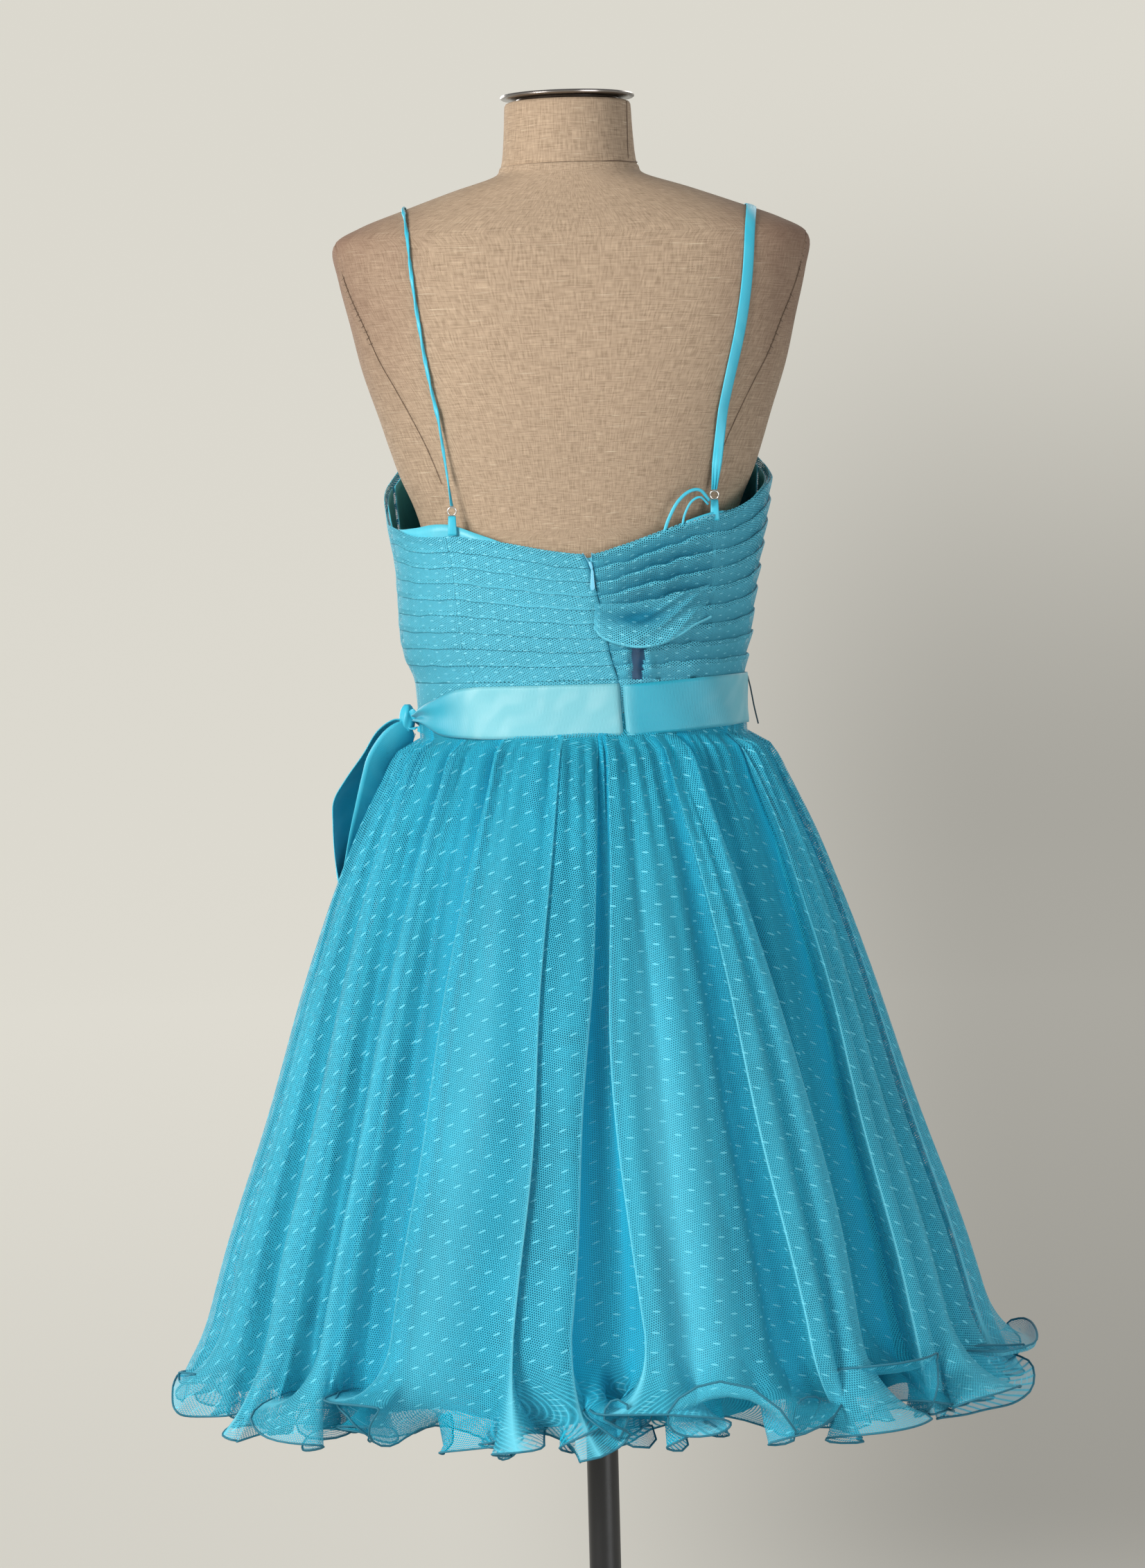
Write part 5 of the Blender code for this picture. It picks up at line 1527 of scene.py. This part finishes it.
ribbon("bow_big_loop", BIG_LOOP, "bow_loop", 0.10, 8)
ribbon("bow_upper_loop", SMALL_LOOP, "bow_small_loop", 0.15)
ribbon("bow_under_fold", UNDER_FOLD, None, 0.12)
ribbon("bow_tail_near", LEFT_TAIL, "bow_tail_left", 0.04)
ribbon("bow_tail_far", RIGHT_TAIL, "bow_tail_right", 0.05)
knot_low, knot_high = (np.array(p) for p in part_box("bow_knot"))
knot_middle, knot_half = (knot_low + knot_high) / 2, (knot_high - knot_low) / 2
turns = np.arange(28) * 360 / 28
rings = []
for share in np.linspace(-1, 1, 15)[::-1]:
    swell = 0.92 * math.sqrt(1 - (0.93 * share) ** 2)
    pleat = 1 + 0.07 * np.sin(np.radians(turns * 5) + 3.0 * share)
    x, y = oval(turns, knot_half[0] * swell * 0.75, knot_half[1] * swell * 0.9, 2.2)
    ring = np.column_stack((x * pleat, y * pleat, np.full(28, 0.78 * knot_half[2] * share)))
    rings.append(ring + knot_middle)
block("knot", rings, bow_ribbon, node="bow_knot")
# height, distance off the dress
CARRIER = ((1.0345, 0.003), (1.025, 0.005), (1.010, 0.0072), (0.9965, 0.0092))
carrier = bent([on_dress(-92.0, z, out) for z, out in CARRIER], 6)
cord("thread_carrier", [carrier], 0.00065, dark_thread, node="belt_carrier")
print("belt, knot, two loops, two tails and the thread carrier")


# %% [markdown]
# ## Straps, rings and loops
# The left strap has rolled on itself into a thin cord, and the right one lies flat. Each hangs
# from a small ring on a ribbon tab at the back, and goes over the shoulder to the top of a cup.
# The path is found on the form itself: from a point inside, a line at each turn meets the surface.
# %% Paths over the shoulders
# turn from the back over the top, how far across, distance off the form
LEFT_STRAP = (
    (-10.0, 0.1045, 0.0045),
    (14.0, 0.1120, 0.0028),
    (38.0, 0.1185, 0.0025),
    (62.0, 0.1255, 0.0026),
    (84.0, 0.1300, 0.0018),
    (106.0, 0.1270, 0.0024),
    (128.0, 0.1200, 0.0026),
    (148.0, 0.1100, 0.0028),
)
RIGHT_STRAP = (
    (-10.0, 0.1120, 0.0035),
    (14.0, 0.1200, 0.0020),
    (38.0, 0.1290, 0.0016),
    (62.0, 0.1370, 0.0018),
    (84.0, 0.1410, 0.0012),
    (106.0, 0.1370, 0.0017),
    (128.0, 0.1260, 0.0016),
    (148.0, 0.1120, 0.0020),
)
PROFILE = bent(TORSO, 6)[::-1]


def on_shoulder(x, turn, off):
    """Point off the form's surface, seen at a turn from a middle line inside it."""
    way = np.array((0.0, math.cos(math.radians(turn)), math.sin(math.radians(turn))))
    low, high = 0.0, 0.3
    for _ in range(30):
        middle = (low + high) / 2
        point = np.array((x, 0.0, 1.25)) + way * middle
        size = [np.interp(point[2], PROFILE[:, 0], PROFILE[:, i]) for i in (1, 2, 3)]
        depth = size[1] if point[1] >= 0 else size[2]
        inside = point[2] < 1.436 and abs(x / size[0]) ** 2.3 + abs(point[1] / depth) ** 2.3 < 1
        low, high = (middle, high) if inside else (low, middle)
    return np.array((x, 0.0, 1.25)) + way * (low + off)


def strap_path(side, table, start):
    """Middle of a strap from its ring to the cup, the ways across and off it, and lengths along."""
    turns = np.arange(-8.0, 148.1, 2.0)
    middle, lean = [], []
    for turn in turns:
        x, off = side * eased(table, 1, turn), eased(table, 2, turn)
        middle.append(on_shoulder(x, turn, off))
        lean.append(on_shoulder(x + 0.003, turn, off) - on_shoulder(x - 0.003, turn, off))
    cup = on_dress(side * 146.0, float(top_edge(side * 146.0)) + 0.0006, -0.0006)
    first = [start + (middle[0] - start) * s for s in (0.0, 0.35, 0.7)]
    last = [middle[-1] + (cup - middle[-1]) * s for s in (0.35, 0.7, 1.0)]
    lean = [np.array((0.006, 0, 0))] * 3 + lean + [lean[-1]] * 3
    smooth = np.array(first + middle + last)
    for _ in range(2):
        smooth[1:-1] = (smooth[:-2] + 2 * smooth[1:-1] + smooth[2:]) / 4
    lean = np.array(lean) / 0.006
    return smooth, lean, np.cross(unit(np.gradient(smooth, axis=0)), lean), run_along(smooth)


def edge_point(x, rise, out=-0.0006):
    """Point above the top edge of the bodice's back."""
    low, high = 0.0, 90.0
    for _ in range(30):
        angle = (low + high) / 2
        point = on_dress(math.copysign(angle, x), float(top_edge(math.copysign(angle, x))) + rise, out)
        low, high = (angle, high) if abs(point[0]) < abs(x) else (low, angle)
    return point


# %% The two straps
ROLL_RADIUS, STRAP_HALF = 0.00110, 0.00375
left_start = np.array((0.0970, edge_point(0.0970, 0.0003)[1], 1.1725))
right_start = np.array((-0.1050, edge_point(-0.1050, 0.0003)[1], 1.1800))
path, lean, facing, length = strap_path(1, LEFT_STRAP, left_start)
rolled = []
for turn in np.linspace(0, 2 * np.pi, 14, endpoint=False):
    twist = turn + length / 0.011
    radius = ROLL_RADIUS * (1 + 0.30 * np.cos(2 * turn + 0.6)) * (1 + 0.15 * waves(length, (0.03, 0.013), 4))
    across, off = radius * np.cos(twist), radius * np.sin(twist)
    rolled.append(path + lean * across[:, None] + facing * off[:, None])
skin("rolled_strap", np.swapaxes(rolled, 0, 1), bow_ribbon, wrap=True, node="strap_left")

path, lean, facing, length = strap_path(-1, RIGHT_STRAP, right_start)
rows = []
for share in np.linspace(-1, 1, 9):
    half = STRAP_HALF * (1 - 0.45 * bell(length, 0.012))
    crumple = 0.0009 * math.cos(2.5 * math.pi * share) * bell(length, 0.016)
    cup = 0.0005 * (1 - share**2) + crumple
    rows.append(path + lean * (share * half)[:, None] + facing * cup[:, None])
thicken(skin("flat_strap", rows, bow_ribbon, node="strap_right"), 0.0007, 0.0)


# %% [markdown]
# The rings, tabs and hanger loops come last. A folded tab holds each ring, two thin ribbons make
# the hanger loops at the right, and a satin stay with white zigzag stitches holds them down.
# %% Rings and tabs
RING_RADIUS, WIRE_RADIUS, TAB_HALF = 0.0032, 0.0006, 0.0035


def tab(side, start):
    """Folded ribbon tab from the ring down to the top edge."""
    ring_bottom = start - np.array((0, 0, 0.0078))
    low = edge_point(start[0], -0.0060, 0.0012)
    rows = []
    for share in np.linspace(0, 1, 9):
        middle = ring_bottom + (low - ring_bottom) * share
        middle[1] += 0.0012 * math.sin(math.pi * share)
        half = TAB_HALF * (0.8 + 0.2 * share)
        rows.append([middle + np.array((half * s, 0.0004 * (1 - s * s), 0)) for s in np.linspace(-1, 1, 7)])
    thicken(skin(side + "_ring_tab", rows, bow_ribbon, node="strap_tab_" + side), 0.0009, 0.0)


for side, start in (("left", left_start), ("right", right_start)):
    tab(side, start)
    turns = np.linspace(0, 2 * np.pi, 36, endpoint=False)
    ring = RING_RADIUS * np.column_stack((np.cos(turns), 0.25 * np.sin(turns), np.sin(turns)))
    ring = start + ring - (0.0, 0.0, 0.0041)
    cord(side + "_ring", [ring], WIRE_RADIUS, nickel, closed=True, node="strap_ring_" + side)

# %% Hanger loops and their stay
# place across, height above the top edge, distance off it
OUTER_HANGER = (
    (-0.0655, -0.0020, 0.001),
    (-0.0690, 0.0070, 0.0),
    (-0.0760, 0.0175, 0.001),
    (-0.0850, 0.0225, 0.002),
    (-0.0940, 0.0205, 0.003),
    (-0.1010, 0.0100, 0.003),
)
INNER_HANGER = (
    (-0.0795, -0.0020, 0.001),
    (-0.0818, 0.0065, 0.0),
    (-0.0870, 0.0140, 0.001),
    (-0.0940, 0.0150, 0.003),
    (-0.1000, 0.0075, 0.003),
)
for which, table, half in (("outer", OUTER_HANGER, 0.0013), ("inner", INNER_HANGER, 0.0009)):
    path = bent([edge_point(x, rise) + np.array((0, off, 0)) for x, rise, off in table], 8)
    along = unit(np.gradient(path, axis=0))
    way = half * np.column_stack((-along[:, 2], 0 * along[:, 0], along[:, 0]))
    rows = [path + way * s for s in (-1.0, 0.0, 1.0)]
    thicken(skin("hanger_" + which, rows, bow_ribbon, node="hanger_loop_" + which), 0.0006, 0.0)

angle = np.linspace(-46.0, -31.0, 16)
rows = [on_dress(angle, top_edge(angle) + rise, 0.0014) for rise in np.linspace(0.0010, -0.0048, 6)]
thicken(skin("satin_stay", rows, bow_ribbon, slot="satin"), 0.0006)
values = {"Spacing": 0.0011, "Length": 0.0017, "Radius": 0.00022, "Slant": 0.9, "Finish": white_thread}
grow("stay_stitches", stitches, [on_dress(angle, top_edge(angle) - 0.0014, 0.0017)], values, slot="satin")
print("straps, rings, tabs and loops made;", len(made_pieces), "pieces in all")


# %% [markdown]
# ## Riding and cloth
# Every piece now rides on its body and hides the solid that it stands for.
# %% Riding on the bodies
for piece, body, stands_for, slot in made_pieces.values():
    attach(piece, body)
    if stands_for:
        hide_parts(*stands_for)
triangles = sum(sum(len(p.vertices) - 2 for p in made.data.polygons) for made, *_ in made_pieces.values())
print(len(made_pieces), "pieces ride;", triangles, "triangles before walls")


# %% Cloth, as it was cut
def area_of(piece):
    """Area of a skin."""
    return sum(face.area for face in piece.data.polygons)


def cut_size(piece):
    """Width and length of a piece's cloth laid flat, from its UV map."""
    uv = np.zeros(len(piece.data.loops) * 2)
    piece.data.uv_layers["cloth"].data.foreach_get("uv", uv)
    return tuple(float(side) for side in np.ptp(uv.reshape(-1, 2), axis=0))


# piece, how it is held, what it lies on
CLOTHS = (
    ("pleated_back_left", "folded", "back_left_lining"),
    ("pleated_side_left", "folded", "back_left_lining"),
    ("pleated_side_right", "folded", "back_right_lining"),
    ("pleated_back_right", "folded", "back_right_lining"),
    ("pleated_front", "folded", "front_lining"),
    ("loose_pleat", "folded", "pleated_back_right"),
    ("back_left_lining", "stretched", "torso"),
    ("back_right_lining", "stretched", "torso"),
    ("front_lining", "stretched", "torso"),
    ("zip_tape_cloth", "stretched", "torso"),
    ("ribbon_left", "stretched", "pleated_back_left"),
    ("ribbon_right", "stretched", "pleated_back_right"),
    ("bow_big_loop", "folded", "knot"),
    ("bow_tail_near", "hung", "knot"),
    ("bow_tail_far", "hung", "knot"),
)
for name, held, under in CLOTHS:
    piece = made_pieces[name][0]
    cut_size(piece)
    sides = [round(side, 3) for side in cut_size(piece)]
    print(name, "was", sides, "m, mesh", round(area_of(piece), 4), "m2")
for name, under, rows, hem, edging in (
    ("dotted_skirt", "plain_skirt", dotted_grid, -1 - HEM_ROWS, ["dotted_hem_cord"]),
    ("plain_skirt", "satin_underskirt", plain_grid, -1 - HEM_ROWS, ["plain_hem_cord"]),
    ("satin_underskirt", "torso", satin_grid, -1, []),
):
    piece = made_pieces[name][0]
    edging = [made_pieces[edge][0] for edge in edging]
    under = [made_pieces[under][0]]

# %% [markdown]
# ## Room, light and camera
# The studio is one seamless pale sweep: a floor that curves up into a round wall, wide enough to
# stand outside any view. The lamps leave the sweep out: its paint glows, and a painted shadow darkens
# it to the right of the dress, as the camera sees it, and towards the bottom of the view. A big soft
# light from the left does most of the work, a weaker one fills the right, one from above and behind
# draws the shoulders' edge, and one lights the front. The camera stands at chest height four metres
# behind the dress, and leans a little.
# %% Studio
turns = np.linspace(0, 2 * np.pi, 96, endpoint=False)
# radius and height of the floor, then of the curve and the wall
sweep = [(r, 0.0) for r in np.linspace(0.01, 9.4, 12)]
sweep += [(9.4 + 5.6 * math.sin(t), 5.6 - 5.6 * math.cos(t)) for t in np.linspace(0.04, math.pi / 2, 40)]
sweep = np.array(sweep)
x, y = sweep[:, :1] * np.sin(turns), sweep[:, :1] * np.cos(turns)
room_points = np.stack((x, y, sweep[:, 1:] + 0 * turns), -1)
backdrop_paint, shader, _, place = start_finish("studio_paint", (0.47, 0.445, 0.41), 0.95)
x, y, z = parts_of(place)
# Painted shadow beyond the dress, measured from the camera's spot: darker to the right and lower down.
back = reckon("MINIMUM", reckon("SUBTRACT", y, 4.0), -1.0)
aside, below = reckon("DIVIDE", x, back), reckon("DIVIDE", reckon("SUBTRACT", z, 1.12), back)
shade = 0.62
for value, first, last in ((aside, -0.035, 0.085), (below, -0.105, 0.055), (y, 0.0, -2.1)):
    shade = times(spread_over(value, first, last, way="SMOOTHSTEP"), shade)
shade = reckon("ADD", spread_over(below, 0.06, 0.20, 0.0, 0.12, "SMOOTHSTEP"), shade)
# Both the paint and its glow take the painted shadow.
for socket, paint in (("Base Color", (0.44, 0.425, 0.395)), ("Emission Color", (0.92, 0.888, 0.785))):
    give(shader, {socket: mixed(shade, paint, darker(paint, 0.25))})
# The paint glows, since the lamps leave the sweep out.
give(shader, {"Emission Strength": 0.62})
room = skin("studio_sweep", room_points[:, ::-1], backdrop_paint, wrap=True)
room.visible_diffuse = room.visible_shadow = False
del made_pieces["studio_sweep"]
unlit = bpy.data.collections.new("not lit by the lamps")
unlit.objects.link(room)
unlit.collection_objects[0].light_linking.link_state = "EXCLUDE"


def soft_light(name, place, aim, size, power, colour):
    """Large square light facing a point."""
    lamp = bpy.data.lights.new(name, "AREA")
    lamp.shape, lamp.size, lamp.energy, lamp.color = "SQUARE", size, power, colour
    made = bpy.data.objects.new(name, lamp)
    made.location = place
    made.rotation_euler = (Vector(aim) - Vector(place)).to_track_quat("-Z", "Y").to_euler()
    made.visible_camera = False
    made.light_linking.receiver_collection = unlit
    bpy.context.scene.collection.objects.link(made)


soft_light("window", (3.05, 2.7, 2.2), (0, 0, 1.0), 1.7, 228.0, (1.0, 0.985, 0.96))
soft_light("fill", (-2.6, 3.3, 0.5), (0, 0, 0.55), 2.2, 74.0, (0.96, 0.98, 1.0))
soft_light("rim", (-1.4, -2.6, 3.0), (0, 0, 1.1), 1.4, 25.0, (1.0, 0.98, 0.95))
soft_light("front", (1.8, -3.6, 1.7), (0, 0, 0.95), 2.4, 60.0, (1.0, 0.99, 0.97))
world = bpy.data.worlds.new("studio air")
world.use_nodes = True
give(world.node_tree.nodes["Background"], {"Color": (0.95, 0.97, 1.0, 1.0), "Strength": 0.32})
bpy.context.scene.world = world
bpy.context.scene.view_settings.view_transform = "Standard"

# %% Camera
lens = bpy.data.cameras.new("camera")
lens.lens, lens.sensor_width, lens.clip_end = 116.9, 36.0, 60.0
camera = bpy.data.objects.new("camera", lens)
bpy.context.scene.collection.objects.link(camera)
ASIDE, LEAN = 0.00985, math.radians(-1.5)
stand, aim = Vector((ASIDE, 4.0, 1.12)), Vector((ASIDE, 0.0, 0.953))
look = (aim - stand).to_track_quat("-Z", "Y").to_matrix().to_4x4()
camera.matrix_world = Matrix.Translation(stand) @ look @ Matrix.Rotation(LEAN, 4, "Z")
bpy.context.scene.camera = camera
